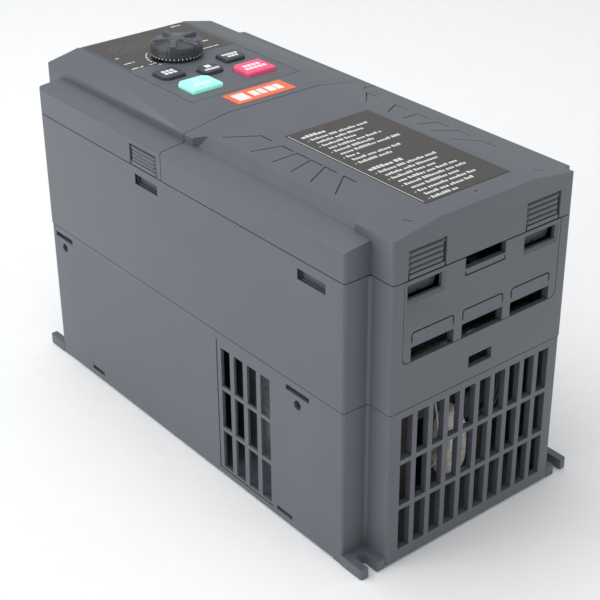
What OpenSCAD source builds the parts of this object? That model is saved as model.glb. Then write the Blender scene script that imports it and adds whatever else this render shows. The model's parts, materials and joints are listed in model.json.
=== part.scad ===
// Variable frequency drive for a three phase motor: a book-shaped plastic case with a keypad,
// a hinged terminal cover, a cable entry plate and four open mounting lugs.
// The drive lies on its back. Origin at the centre of the back plane, +Z out of the front,
// +Y towards the keypad end (the top when it hangs on a wall), +X to the right.

/* [Case] */
// Length of the case from the terminal end to the keypad end
case_l = 280; // [276:1:290]
// Width of the case
case_w = 140; // [138:1:146]
// Depth from the wall plane to the flat of the front
case_d = 175; // [174:1:178]
// Side of the square notch over each mounting lug
notch = 14.5; // [14:0.5:15.5]
// Wall thickness of the plastic case
wall = 2.8; // [2.4:0.1:3]
// Corner radius of the case seen from the front
corner_r = 1.6; // [1:0.1:2]
// Width of the seams between the case parts
seam = 0.5; // [0.4:0.1:0.6]

/* [Stack] */
// Height of the seam between lower and middle housing
seam_low = 84.5; // [84:0.5:85]
// Height of the seam between middle housing and front covers
seam_high = 150; // [149.5:0.5:150.5]
// Height of the outer edge of the side shoulders
shoulder_z = 165; // [164.5:0.5:166]
// Height of the raised front block at its side edges
cheek_z = 171; // [170.5:0.5:171.5]
// Place of the seam between the two front covers
cover_seam_y = 10.5; // [10:0.5:12]

/* [Mounting] */
// Width of the open mounting slots, for M5 screws
slot_w = 5.5; // [5.2:0.1:6]
// Distance between slots across the case
mount_x = 126; // [125:0.5:127]
// Distance between the slot ends along the case
mount_y = 264; // [262:0.5:265]
// Thickness of the mounting lugs
lug_t = 5.5; // [5:0.5:7]

/* [Keypad] */
// Width of the keypad
keypad_w = 69; // [67:1:70]
// Near edge of the keypad
keypad_y0 = 33; // [32:0.5:34]
// Near edge of the display window
window_y0 = 90; // [89:0.5:91]
// Diameter of the navigation knob
knob_d = 29; // [27:0.5:30]
// Height of the knob over the keypad
knob_h = 9.8; // [9:0.1:10.5]
// How far the knob presses in
knob_travel = 0.6; // [0.4:0.1:0.8]
// How far the keys press in
key_travel = 0.8; // [0.5:0.1:1]

/* [Cooling] */
// Columns in the end grilles
grille_cols = 10; // [8:1:10]
// Pitch of the end grille columns
grille_pitch = 9.9; // [9.8:0.1:10]
// Width of one grille opening
grille_gap = 7; // [6:0.1:7.2]
// Side of the square cooling fan
fan_size = 80; // [79:1:80]
// Blades on the fan
fan_blades = 7; // [5:1:9]

/* [Hidden] */
$fn = 48;
eps = 0.01;

case_grey = [0.33, 0.35, 0.38];
board_green = [0.1, 0.35, 0.2];
alloy = [0.75, 0.76, 0.78];
steel = [0.7, 0.7, 0.72];
dark_plastic = [0.16, 0.17, 0.2];

main_x = case_w / 2;            // half width of the case between the notches
main_y = case_l / 2 - notch;    // half length of the case between the notches
end_x = case_w / 2 - notch;     // half width of the end blocks
end_y = case_l / 2;             // half length over the end blocks
foot_h = 0.8;                   // the case stands this far off the wall on its lug pads
floor_z = 4;                    // inner face of the back wall
pad_l = 22;                     // length of a lug pad under the case

flat_x = 29;                    // half width of the front flat over the terminals
flat_x_keypad = 36;             // half width of the front flat at the keypad
waist_x = 50;                   // half width of the raised block beside the label
waist_foot_x = 53.5;            // the same at the foot of its sloping flank
waist_y0 = -110.5;              // near end of the waist
waist_y1 = -1;                  // far end of the waist
cheek_slope = atan((case_d - cheek_z) / (waist_x - flat_x));
keypad_slope = atan((case_d - cheek_z) / (end_x - flat_x_keypad));
skin = 2.6;                     // thickness of the front covers

boss_x = 61;                    // case screw bosses, across
boss_y = 112;                   // case screw bosses, along
grille_deep = 5;                // depth of the far end grille bars, which the fan screws to
near_grille_deep = 3.3;         // depth of the near end grille bars
grille_row_h = 22.8;            // height of one end grille opening
grille_row_pitch = 25.3;        // pitch of the end grille rows
grille_z0 = 7;                  // lowest edge of the end grilles
side_cols = 4;                  // columns in the side grilles
side_y0 = -33.6;                // first column of the side grilles
side_pitch = 10.5;              // pitch of the side grille columns
side_gap = 7.2;                 // width of a side grille opening
side_z0 = 5.6;                  // lowest edge of the side grilles
side_row_h = 22.2;              // height of a side grille opening
side_row_pitch = 24.3;          // pitch of the side grille rows

plate_x = 49;                   // half width of the cable entry plate
plate_z0 = 108.5;               // lowest edge of the cable entry plate
plate_corner = 3;               // corner radius at the foot of the cable entry plate
plate_fit = 0.3;                // gap round the cable entry plate
slot_centres = [-31, 0, 31];    // middles of the three cable slots
cable_slot_w = 26;              // width of a cable slot
cable_slot_h = 7.4;             // height of a cable slot
cable_slot_z = 108.5;           // lowest edge of the cable slots
flange_top = 118;               // upper edge of the flange behind the wall

recess_x = 27.8;                // half width of the finger recess at its step
recess_y = -131.2;              // place of the step of the finger recess
latch_x = 36;                   // middle of each near end latch
latch_w = 20.5;                 // width of each near end latch
latch_top = 163.3;              // top of the near end latches
latch_gap = 0.9;                // slit round each latch
latch_t = 2.2;                  // thickness of each latch tongue
side_latch_y = 26;              // middle of each side latch
side_latch_w = 21.5;            // width of each side latch
side_latch_top = 160.5;         // top of the side latches
rib_n = 4;                      // ribs on each latch
rib_deep = 1.1;                 // height of those ribs
pin_r = 0.8;                    // radius of the pivot pins of the latches
pin_l = 2.4;                    // length of those pins beside the tongue
pin_in = 1.5;                   // depth of the pins behind the wall face
pin_drop = 1.2;                 // depth of the pins under the top of the tongue

label_size = [52, 96];          // the label on the terminal cover
label_y = -79;                  // middle of that label
badge_size = [37, 14.4];        // the badge on the upper cover
badge_y = 22.5;                 // middle of that badge

chevron_inner_x = 33.2;         // inner ends of the embossed fan lines
chevron_outer_x = 45.8;         // outer ends of the embossed fan lines
chevron_outer_y = [-8, -30, -46, -60, -74, -91];
chevron_inner_y = [-22, -38, -49, -59, -69, -82];
chevron_tail = 8.5;             // length of each line's tail

keypad_depth = 12;              // depth of the keypad case
tray_z = case_d - keypad_depth - 0.4;  // floor of the pocket the keypad sits in
keypad_skin = 2;                // thickness of the keypad front
keypad_y1 = end_y - 0.4;        // far end of the keypad
knob_pos = [0, 95.5];           // middle of the knob
knob_turn = 47;                 // turn of the knob's first hollow
key_rise = 2;                   // keys stand this far over the keypad
key_gap = 0.35;                 // gap round each key
window_t = 1.2;                 // thickness of the display window
keypad_board_z = case_d - 9.6;  // lower face of the keypad board
board_t = 1.6;                  // thickness of the boards

sink_y0 = -60;                  // near end of the heat sink
sink_y1 = 104;                  // far end of the heat sink
sink_x = 50;                    // half width of the heat sink
sink_base_z = 58;               // lower face of the heat sink base
sink_top_z = 66;                // upper face of the heat sink base
fin_n = 13;                     // fins on the heat sink
fin_t = 2;                      // thickness of a fin
fan_y = 109.6;                  // near face of the fan frame
fan_t = 25;                     // thickness of the fan
fan_z = floor_z + fan_size / 2; // height of the fan axle
power_board_z = 92;             // lower face of the power board
power_top_z = power_board_z + board_t;
control_board_z = 138;          // lower face of the control board
control_top_z = control_board_z + board_t;
terminal_n = 8;                 // ways in the main terminal block
terminal_pitch = 11.6;          // pitch of those ways
ground_z = seam_low + seam / 2 + 2;  // lower face of the ground bar
terminal_y0 = -120;             // near face of the main terminal block
control_ways = 16;              // ways in the control terminals
control_pitch = 5.08;           // pitch of those ways

// ---------- Helpers ----------

function unit(v) = v / norm(v);
function heading(v) = atan2(v[1], v[0]);

// Outline with every corner, convex or concave, rounded to radius r
function rounded(pts, r, steps = 4) = [
  for (i = [0 : len(pts) - 1])
    let (
      p = pts[i],
      a = unit(pts[(i + len(pts) - 1) % len(pts)] - p),
      b = unit(pts[(i + 1) % len(pts)] - p),
      half = acos(a * b) / 2,
      centre = p + unit(a + b) * r / sin(half),
      from = heading(p + a * r / tan(half) - centre),
      to = heading(p + b * r / tan(half) - centre),
      sweep = (to - from + 540) % 360 - 180
    )
    for (k = [0 : steps])
      centre + r * [cos(from + sweep * k / steps), sin(from + sweep * k / steps)]
];

function rect_pts(w, h, x = 0, y = 0) = [
  [x - w / 2, y - h / 2], [x + w / 2, y - h / 2], [x + w / 2, y + h / 2], [x - w / 2, y + h / 2]
];

// Front outline of the case, with its four corner notches, drawn in by d
function case_pts(d = 0) = [
  [end_x - d, -end_y + d], [end_x - d, -main_y + d], [main_x - d, -main_y + d],
  [main_x - d, main_y - d], [end_x - d, main_y - d], [end_x - d, end_y - d],
  [-end_x + d, end_y - d], [-end_x + d, main_y - d], [-main_x + d, main_y - d],
  [-main_x + d, -main_y + d], [-end_x + d, -main_y + d], [-end_x + d, -end_y + d]
];

module round_box(size, r, steps = 4) {
  linear_extrude(height = size[2]) polygon(rounded(rect_pts(size[0], size[1]), r, steps));
}

// Box given by its low and high corners
module span(low, high) {
  translate(low) cube(high - low);
}

// Children shown at +x and mirrored at -x
module both_sides() {
  children();
  mirror([1, 0, 0]) children();
}

// Children on all four quarters
module four_ways(x, y) {
  for (sx = [-1, 1], sy = [-1, 1])
    translate([sx * x, sy * y, 0]) children();
}

// Profile drawn in the X-Z plane, run along Y from y0 to y1
module along_y(y0, y1) {
  translate([0, y1, 0]) rotate([90, 0, 0]) linear_extrude(height = y1 - y0) children();
}

// Screw with a slotted cheese head; the underside of its head is at z = 0
module screw(d, length, head_d, head_h) {
  difference() {
    cylinder(d = head_d, h = head_h);
    translate([-head_d, -head_d * 0.08, head_h * 0.5]) cube([2 * head_d, head_d * 0.16, head_h]);
  }
  translate([0, 0, -length]) cylinder(d = d, h = length + head_h * 0.3);
}

// ---------- Case ----------

module lug() {
  pad_w = notch + 9.5;
  difference() {
    union() {
      linear_extrude(height = lug_t)
        polygon(rounded([
          [main_x, end_y - 0.5], [main_x, main_y - 2], [end_x - 1, main_y - 2],
          [end_x - 1, end_y - 0.5]
        ], 1.5));
      linear_extrude(height = foot_h + 1)
        polygon(rounded([
          [main_x - 0.3, end_y - 3], [main_x - 0.3, end_y - pad_l], [main_x - pad_w, end_y - pad_l],
          [main_x - pad_w, end_y - 3]
        ], 1.5));
    }
    translate([mount_x / 2, mount_y / 2, -1]) cylinder(d = slot_w, h = lug_t + 2);
    translate([mount_x / 2 - slot_w / 2, mount_y / 2, -1]) cube([slot_w, notch, lug_t + 2]);
  }
}

module end_grille_openings() {
  x0 = -(grille_cols - 1) * grille_pitch / 2;
  for (i = [0 : grille_cols - 1], j = [0 : 2])
    translate([x0 + i * grille_pitch - grille_gap / 2, 0, grille_z0 + j * grille_row_pitch])
      cube([grille_gap, grille_deep + 2, grille_row_h]);
}

module side_grille_openings() {
  for (i = [0 : side_cols - 1], j = [0 : 2])
    translate([0, side_y0 - i * side_pitch - side_gap, side_z0 + j * side_row_pitch])
      cube([wall + 2, side_gap, side_row_h]);
}

// Shallow pocket inside the wall that thins the bars of a side grille
module side_grille_pocket() {
  near_y = side_y0 - (side_cols - 1) * side_pitch - side_gap - 1;
  translate([0, near_y, side_z0 - 0.8])
    cube([1.3, side_y0 + 1 - near_y, 2 * side_row_pitch + side_row_h + 1.6]);
}

// L-shaped hairline groove that frames a side grille
module side_grille_frame() {
  groove = 0.8;
  near_y = side_y0 - (side_cols - 1) * side_pitch - side_gap - 1;
  span([0, side_y0 + 3, 4], [groove, side_y0 + 3 + groove, 80]);
  span([0, near_y, 3.6], [groove, side_y0 + 3 + groove, 3.6 + groove]);
}

// Keyed slot and round hole under the seam, y at the middle of the slot
module seam_slot(y) {
  translate([0, y - 8.5, 78]) cube([wall + 2, 17, 2.8]);
  translate([0, y, 73]) rotate([0, 90, 0]) cylinder(d = 5, h = wall + 2);
}

// Children at the four fan screw places, pointing to the far end
module fan_bolts() {
  translate([0, fan_y, fan_z]) rotate([-90, 0, 0])
    four_ways(fan_size / 2 - 4.25, fan_size / 2 - 4.25) children();
}

module lower_housing() color(case_grey) {
  top = seam_low - seam / 2;
  difference() {
    union() {
      translate([0, 0, foot_h])
        linear_extrude(height = top - foot_h) polygon(rounded(case_pts(0.25), corner_r));
      for (sx = [0, 1], sy = [0, 1])
        mirror([sx, 0, 0]) mirror([0, sy, 0]) lug();
    }
    difference() {
      translate([0, 0, floor_z])
        linear_extrude(height = top) polygon(rounded(case_pts(wall), 1));
      translate([-end_x, end_y - grille_deep - 0.25, 0]) cube([2 * end_x, grille_deep, seam_low]);
      translate([-end_x, 0.25 - end_y, 0]) cube([2 * end_x, near_grille_deep, seam_low]);
      for (sx = [-1, 1], sy = [-1, 1])
        translate([sx * boss_x, sy * boss_y, 0]) cylinder(d = 9, h = top);
    }
    translate([0, -end_y - 1, 0]) end_grille_openings();
    difference() {
      translate([0, end_y - grille_deep - 1, 0]) end_grille_openings();
      fan_bolts() cylinder(d = 10, h = 40);
    }
    fan_bolts() cylinder(d = 4.2, h = fan_t + 4.3);
    both_sides() {
      translate([main_x - wall - 1, 0, 0]) side_grille_openings();
      translate([main_x - wall - 0.1, 0, 0]) side_grille_pocket();
      translate([main_x - 0.25 - 0.6, 0, 0]) side_grille_frame();
      translate([main_x - wall - 1, 0, 0]) {
        seam_slot(112.5);
        seam_slot(-93);
        translate([0, 80.5, floor_z]) cube([wall + 2, 12, 2.4]);
        translate([0, -88.5, floor_z]) cube([wall + 2, 12, 2.4]);
      }
    }
    for (sx = [-1, 1], sy = [-1, 1])
      translate([sx * boss_x, sy * boss_y, 0]) {
        translate([0, 0, -1]) cylinder(d = 4.4, h = seam_low + 2);
        translate([0, 0, -1]) cylinder(d = 8.2, h = 5);
      }
  }
}

// Window that a latch hook looks out of: a shallow sunk frame and a slot through the wall
module latch_window(w, h, frame_side, frame_low) {
  translate([0, -w / 2, 0]) cube([wall + 3, w, h]);
  translate([wall, 0, h]) rotate([90, 0, 90]) sloping_frame(w, h, frame_side, frame_low);
}

// Cut with sloping sides round a window w by h whose top edge lies at y = 0, in a face at z = 0
module sloping_frame(w, h, side, low) {
  deep = 1.1;
  over = 0.4;
  wide = w / 2 + side * (deep + over) / deep;
  tall = h + low * (deep + over) / deep;
  polyhedron(
    points = [
      [-w / 2, -h, -deep], [w / 2, -h, -deep], [w / 2, 0, -deep], [-w / 2, 0, -deep],
      [-wide, -tall, over], [wide, -tall, over], [wide, 0, over], [-wide, 0, over]
    ],
    faces = [[0, 1, 2, 3], [7, 6, 5, 4], [4, 5, 1, 0], [5, 6, 2, 1], [6, 7, 3, 2], [7, 4, 0, 3]]
  );
}

module middle_housing() color(case_grey) {
  low = seam_low + seam / 2;
  high = seam_high - seam / 2;
  // shelf under the ground bar
  difference() {
    span([-44, -end_y + 1, low], [44, -122, low + 2]);
    for (x = [-28, 28]) translate([x, -129, low - 1]) cylinder(d = 4.4, h = 4);
  }
  difference() {
    translate([0, 0, low])
      linear_extrude(height = high - low) polygon(rounded(case_pts(), corner_r));
    difference() {
      translate([0, 0, low - 1])
        linear_extrude(height = high - low + 2) polygon(rounded(case_pts(wall), 1));
      for (sx = [-1, 1], sy = [-1, 1]) {
        translate([sx * boss_x, sy * boss_y, 0]) cylinder(d = 9, h = low + 14);
        translate([sx * (boss_x + 5), sy * boss_y, (low + 14) / 2]) cube([8, 4, low + 14], center = true);
      }
    }
    for (sx = [-1, 1], sy = [-1, 1])
      translate([sx * boss_x, sy * boss_y, low - 1]) cylinder(d = 4.4, h = 13);
    // opening for the cable entry plate, with round lower corners
    along_y(-end_y - 1, -end_y + wall + 1)
      polygon(concat(
        [[plate_x, high + 1], [-plate_x, high + 1]],
        corner_pts([-plate_x, plate_z0], plate_corner, 180),
        corner_pts([plate_x, plate_z0], plate_corner, 270)
      ));
    span([-7.4, -end_y - 1, 91], [7.4, -end_y + wall + 1, 97]);
    both_sides() translate([main_x - wall - 1, 0, 0]) {
      translate([0, side_latch_y - 1.5, 140.3]) latch_window(19.6, 5.6, 3.4, 4);
      translate([0, -103.5, 139.8]) latch_window(19.2, 5.4, 3.6, 3.4);
    }
  }
}

// Quarter circle of radius r inside the corner at p, starting at angle a
function corner_pts(p, r, a, steps = 6) =
  let (c = p + r * (a == 180 ? [1, 1] : [-1, 1]))
  [for (k = [0 : steps]) c + r * [cos(a + 90 * k / steps), sin(a + 90 * k / steps)]];

// Hairline U-shaped groove of width g round a knock-out, open side up or down
module knock_out(w, h, g, up) {
  flip = up ? 1 : -1;
  difference() {
    along_y(-0.7, 1)
      polygon(rounded([[-w / 2, 0], [w / 2, 0], [w / 2, flip * h], [-w / 2, flip * h]], h * 0.3));
    along_y(-2, 2)
      polygon(rounded([
        [-w / 2 + g, -flip * 3], [w / 2 - g, -flip * 3], [w / 2 - g, flip * (h - g)],
        [-w / 2 + g, flip * (h - g)]
      ], 1));
  }
}

module cable_entry_plate() color(case_grey) {
  y0 = -end_y + 0.1;
  back = y0 + wall + 1.2;
  difference() {
    union() {
      along_y(y0, back)
        polygon(concat(
          [[plate_x - plate_fit, seam_high - seam], [-plate_x + plate_fit, seam_high - seam]],
          corner_pts([-plate_x + plate_fit, plate_z0 + plate_fit], plate_corner, 180),
          corner_pts([plate_x - plate_fit, plate_z0 + plate_fit], plate_corner, 270)
        ));
      // flange behind the wall that keeps the plate from coming out
      span([-plate_x - 2.4, y0 + wall + 0.1, plate_z0 - 2.4], [plate_x + 2.4, back, flange_top]);
    }
    // thin upper part, with room for the cover latches behind it
    span([-plate_x - 5, y0 + wall, flange_top], [plate_x + 5, back + 1, seam_high + 1]);
    // cable slots, open at the bottom, each with a knock-out over it
    for (x = slot_centres) {
      span([x - cable_slot_w / 2, y0 - 1, plate_z0 - 5],
           [x + cable_slot_w / 2, back + 1, cable_slot_z + cable_slot_h]);
      translate([x, y0, cable_slot_z + cable_slot_h + 1.6]) knock_out(cable_slot_w, 6, 0.8, true);
    }
    // tool slot at the seam and its knock-out
    span([-12.6, y0 - 1, seam_high - 6.2], [12.6, back, seam_high]);
    translate([0, y0, seam_high - 7.2]) knock_out(25.6, 2.6, 0.8, false);
    // windows for the terminal cover latches
    for (sx = [-1, 1]) {
      span([sx * latch_x - 10, y0 - 1, 139.6], [sx * latch_x + 10, back, 147.6]);
      translate([sx * latch_x, y0, 147.6]) rotate([90, 0, 0]) sloping_frame(20, 8, 1.5, 1.7);
    }
  }
}

// ---------- Front covers ----------

// Cross-section of the raised front block with half width x at its flat
function raised_pts(x) = [
  [-end_x, seam_high + seam / 2], [end_x, seam_high + seam / 2], [end_x, cheek_z - 0.5],
  [end_x - 0.5, cheek_z + 0.1], [x, case_d], [-x, case_d], [-end_x + 0.5, cheek_z + 0.1],
  [-end_x, cheek_z - 0.5]
];

// Cross-section of the lower side shoulders, d inside their surface
function shoulder_pts(d = 0) = [
  [-main_x + d, seam_high + seam / 2 - d], [main_x - d, seam_high + seam / 2 - d],
  [main_x - d, shoulder_z - 1.2], [main_x - 0.5 - d, shoulder_z - 0.3 - d],
  [main_x - 1.6 - d, shoulder_z + 0.2 - d], [end_x - d, shoulder_z + 1.5 - d],
  [-end_x + d, shoulder_z + 1.5 - d], [-main_x + 1.6 + d, shoulder_z + 0.2 - d],
  [-main_x + 0.5 + d, shoulder_z - 0.3 - d], [-main_x + d, shoulder_z - 1.2]
];

// Slab that stands over the raised block on one side and cuts its far cheek down to the seam
module keypad_corner_trim() {
  bend_y = 31;
  turn = atan((flat_x_keypad - flat_x) / (bend_y - cover_seam_y));
  translate([flat_x, cover_seam_y, case_d])
    rotate([0, 0, -turn])
      rotate([0, cheek_slope * 0.86, 0])
        translate([-0.4, -40, 0]) cube([60, 110, 12]);
}

module upper_cover_solid() {
  y0 = cover_seam_y + seam / 2;
  intersection() {
    union() {
      along_y(y0, main_y) polygon(shoulder_pts());
      difference() {
        along_y(y0, end_y) polygon(raised_pts(flat_x_keypad));
        both_sides() keypad_corner_trim();
      }
    }
    linear_extrude(height = case_d + 5) polygon(rounded(case_pts(), corner_r));
  }
}

module upper_cover() color(case_grey) {
  y0 = cover_seam_y + seam / 2;
  difference() {
    upper_cover_solid();
    // hollow inside, open at the back and at the cover seam, but for the tray under the keypad
    difference() {
      intersection() {
        union() {
          along_y(y0 - 1, main_y - wall) polygon(shoulder_pts(skin));
          along_y(y0 - 1, end_y - wall)
            polygon([
              [-end_x + skin, seam_high - 1], [end_x - skin, seam_high - 1],
              [end_x - skin, cheek_z - skin], [flat_x - 2, case_d - skin - 0.6],
              [-flat_x + 2, case_d - skin - 0.6], [-end_x + skin, cheek_z - skin]
            ]);
        }
        translate([0, 0, seam_high - 1])
          linear_extrude(height = case_d) polygon(rounded(case_pts(wall), 1));
      }
      span([-keypad_w / 2 - 2.4, keypad_y0 - 2.4, tray_z - 2], [keypad_w / 2 + 2.4, end_y, case_d]);
    }
    span([-9.6, 51, tray_z - 3], [9.6, 67, tray_z + 2]);
    // pocket for the keypad, open at the far end
    span([-keypad_w / 2 - 0.35, keypad_y0 - 0.35, tray_z],
         [keypad_w / 2 + 0.35, end_y + 1, case_d + 5]);
    // seat for the badge
    translate([0, badge_y, case_d - 0.6])
      linear_extrude(height = 2)
        polygon(rounded(rect_pts(badge_size[0] + 0.2, badge_size[1] + 0.2), 0.6));
    both_sides()
      translate([main_x, side_latch_y, 0]) rotate([0, 0, 90])
        latch_opening(side_latch_w, side_latch_top);
  }
}

// Hole through a cover wall round a latch, with bores for its pivot pins; wall face at y = 0
module latch_opening(w, top) {
  span([-w / 2 - latch_gap, -1, seam_high - 1], [w / 2 + latch_gap, wall + 1, top + latch_gap]);
  translate([-w / 2 - pin_l - 0.1, pin_in, top - pin_drop])
    rotate([0, 90, 0]) cylinder(r = pin_r + 0.05, h = w + 2 * pin_l + 0.2);
}

// What the waist beside the label takes off the raised block on the +x side
module waist_cut() {
  intersection() {
    along_y(waist_y0 - 6, waist_y1 + 6)
      polygon([
        [waist_foot_x, shoulder_z + 1.5], [waist_x - 2, cheek_z + 3], [end_x + 2, cheek_z + 3],
        [end_x + 2, shoulder_z + 1.5]
      ]);
    translate([0, 0, seam_high])
      linear_extrude(height = 30)
        polygon([
          [end_x + 2, waist_y0 - 6], [end_x, waist_y0 - 4.5], [waist_x - 1.2, waist_y0 + 0.6],
          [waist_x - 6, waist_y0 + 1], [waist_x - 6, waist_y1], [waist_x, waist_y1],
          [end_x, waist_y1 + 4.5], [end_x + 2, waist_y1 + 6]
        ]);
  }
}

// Groove of width w between two points on the cheek, u across and v along
module cheek_groove(a, b, w) {
  turn = heading(b - a);
  translate([a[0], a[1], -0.6])
    rotate([0, 0, turn]) translate([0, -w / 2, 0]) cube([norm(b - a), w, 2]);
}

// Embossed fan lines on the +x cheek, with tails at their inner or their outer ends
module chevrons(tail_inside) {
  w = 0.65;
  stretch = 1 / cos(cheek_slope);
  translate([flat_x, 0, case_d]) rotate([0, cheek_slope, 0])
    for (i = [0 : len(chevron_outer_y) - 1]) {
      outer = [(chevron_outer_x - flat_x) * stretch, chevron_outer_y[i]];
      inner = [(chevron_inner_x - flat_x) * stretch, chevron_inner_y[i]];
      bend = tail_inside ? inner : outer;
      cheek_groove(outer, inner, w);
      cheek_groove(bend + [0, w / 2], bend - [0, chevron_tail], w);
    }
}

module terminal_cover_solid() {
  y1 = cover_seam_y - seam / 2;
  intersection() {
    union() {
      along_y(-main_y, y1) polygon(shoulder_pts());
      difference() {
        along_y(-end_y, y1) polygon(raised_pts(flat_x));
        both_sides() waist_cut();
      }
    }
    linear_extrude(height = case_d + 5) polygon(rounded(case_pts(), corner_r));
  }
}

module terminal_cover() color(case_grey) {
  y1 = cover_seam_y - seam / 2;
  both_sides() {
    // hinge hook that turns under the skin of the upper cover
    span([10, y1 - 14, case_d - 7.4], [22, y1 - 2, case_d - 2]);
    span([10, y1 - 14, case_d - 7.4], [22, y1 + 4.6, case_d - 4.2]);
    // side hook behind the window in the middle housing
    difference() {
      union() {
        span([64.9, -113.4, seam_high + 0.8], [68.4, -93.6, seam_high + 6]);
        span([64.9, -113.4, seam_high - 11.6], [66.9, -93.6, seam_high + 2]);
      }
      for (y = [-110.4, -104.2]) span([64, y, seam_high - 12], [68, y + 1.4, seam_high - 10.2]);
    }
  }
  difference() {
    terminal_cover_solid();
    // hollow inside, open at the back and at the cover seam
    intersection() {
      union() {
        along_y(-main_y + wall, y1 + 1) polygon(shoulder_pts(skin));
        along_y(-end_y + wall, y1 + 1)
          polygon([
            [-waist_foot_x + skin, seam_high - 1], [waist_foot_x - skin, seam_high - 1],
            [waist_foot_x - skin, shoulder_z], [waist_x - skin - 1, cheek_z - skin],
            [flat_x - 2, case_d - skin - 0.6], [-flat_x + 2, case_d - skin - 0.6],
            [-waist_x + skin + 1, cheek_z - skin], [-waist_foot_x + skin, shoulder_z]
          ]);
      }
      translate([0, 0, seam_high - 1])
        linear_extrude(height = case_d) polygon(rounded(case_pts(wall), 1));
    }
    // seat for the label
    translate([0, label_y, case_d - 0.35])
      linear_extrude(height = 2) polygon(rect_pts(label_size[0] + 0.3, label_size[1] + 0.3));
    chevrons(false);
    mirror([1, 0, 0]) chevrons(true);
    // finger recess in the near edge
    finger_recess();
    for (sx = [-1, 1]) translate([sx * latch_x, -end_y, 0]) latch_opening(latch_w, latch_top);
    // short engraved line on each cheek
    for (x = [-41.7, 38.6])
      translate([x, -129.5, cheek_z + 1.4]) rotate([0, 0, -65]) cube([4.7, 0.5, 4]);
  }
}

// Stepped cut along the near edge of the flat, wider and shallower to the end, with sloping ends
module finger_recess() {
  depth = 2.5;
  flare = 29;
  draft = 28;
  intersection() {
    translate([0, recess_y, case_d - depth])
      rotate([3, 0, 0]) translate([-40, -14, 0]) cube([80, 14, 8]);
    intersection_for(side = [-1, 1])
      translate([side * recess_x, recess_y, case_d])
        rotate([0, 0, side * flare]) rotate([0, side * draft, 0])
          translate([-40 - side * 40, -40, -12]) cube([80, 60, 24]);
  }
}

// Round rib of length w with tapered ends
module latch_rib(w, r) {
  tip = 1.1;
  translate([-w / 2 + tip, 0, 0]) rotate([0, 90, 0]) cylinder(r = r, h = w - 2 * tip, $fn = 24);
  translate([-w / 2, 0, 0]) rotate([0, 90, 0]) cylinder(r1 = r * 0.35, r2 = r, h = tip, $fn = 24);
  translate([w / 2 - tip, 0, 0]) rotate([0, 90, 0]) cylinder(r1 = r, r2 = r * 0.35, h = tip, $fn = 24);
}

// Ribbed tongue in the X-Z plane with its outer face at y = 0; the hook hangs below z = 0.
// The hook's outer face runs from y = face at z = 0 to y = back at its low end.
module latch_tongue(w, top, hook_w, hook_low, face, back) {
  band = 1.9;
  rib_h = (top - band - 0.2) / rib_n;
  span([-w / 2, rib_deep, 0], [w / 2, latch_t + 0.6, top]);
  span([-w / 2, 0, 0], [w / 2, rib_deep + 0.1, band]);
  for (i = [0 : rib_n - 1])
    translate([0, rib_deep, band + (i + 0.5) * rib_h]) latch_rib(w, rib_deep);
  translate([-w / 2 - pin_l, pin_in - 0.1, top - pin_drop])
    rotate([0, 90, 0]) cylinder(r = pin_r, h = w + 2 * pin_l);
  // shelf over the wall below, and the hook that hangs behind it
  difference() {
    translate([-hook_w / 2, 0, 0])
      rotate([90, 0, 90]) linear_extrude(height = hook_w)
        polygon([
          [face, 0], [back, hook_low], [back + 1.8, hook_low], [face + 2.4, 2], [latch_t - 0.4, 2],
          [latch_t - 0.4, 0]
        ]);
    for (x = [-hook_w * 0.36, 0])
      span([x, face - 2, hook_low - 1], [x + 1.4, back + 3, hook_low + 1.3]);
  }
}

module cover_latch(side) color(case_grey)
  translate([side * latch_x, -end_y + 0.1, seam_high + seam / 2 + 0.1])
    latch_tongue(latch_w, latch_top - seam_high - seam / 2 - 0.1, latch_w, -11.7, 3.5, 6.3);

module cover_latch_left() cover_latch(-1);
module cover_latch_right() cover_latch(1);

// The side latches squeeze the upper cover loose
module front_latch(side) color(case_grey)
  translate([side * (main_x - 0.1), side_latch_y, seam_high + seam / 2 + 0.1])
    rotate([0, 0, side * 90])
      latch_tongue(side_latch_w, side_latch_top - seam_high - seam / 2 - 0.1, side_latch_w, -11.9, 3.1, 3.1);

module front_latch_left() front_latch(-1);
module front_latch_right() front_latch(1);

module badge_plate() color([0.95, 0.35, 0.2])
  translate([0, badge_y, case_d - 0.6]) round_box([badge_size[0], badge_size[1], 0.9], 0.5);

module front_label() color([0.2, 0.19, 0.18])
  translate([0, label_y, case_d - 0.35])
    linear_extrude(height = 0.5) polygon(rect_pts(label_size[0], label_size[1]));

// ---------- Keypad ----------

// Each key: middle, size and which corners are cut off, as factors of x and y
program_spec = [[-21.4, 72], [13.4, 12.6], [[-1, -1]]];
shift_spec = [[-1, 64], [12.4, 11.4], [[-1, -1], [1, -1], [-1, 1], [1, 1]]];
jog_spec = [[19.4, 72.5], [13.4, 11.4], [[1, -1]]];
run_spec = [[-18, 49.4], [19, 16.4], [[1, 1], [-1, 1]]];
stop_spec = [[18, 50.8], [18.6, 15.8], [[-1, 1]]];
key_specs = [program_spec, shift_spec, jog_spec, run_spec, stop_spec];

// Key outline grown by d, with its cut corners
function key_pts(spec, d = 0) =
  let (
    w = spec[1][0] / 2 + d,
    h = spec[1][1] / 2 + d,
    cut = 2.6,
    corners = [[-1, -1], [1, -1], [1, 1], [-1, 1]]
  )
  [
    for (c = corners)
      let (
        is_cut = len([for (k = spec[2]) if (k == c) k]) > 0,
        along_x = [c[0] * (w - (is_cut ? cut : 0)), c[1] * h],
        along_h = [c[0] * w, c[1] * (h - (is_cut ? cut : 0))],
        first = c[0] * c[1] > 0 ? along_h : along_x,
        second = c[0] * c[1] > 0 ? along_x : along_h
      )
      each (is_cut ? [first, second] : [first])
  ];

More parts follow.
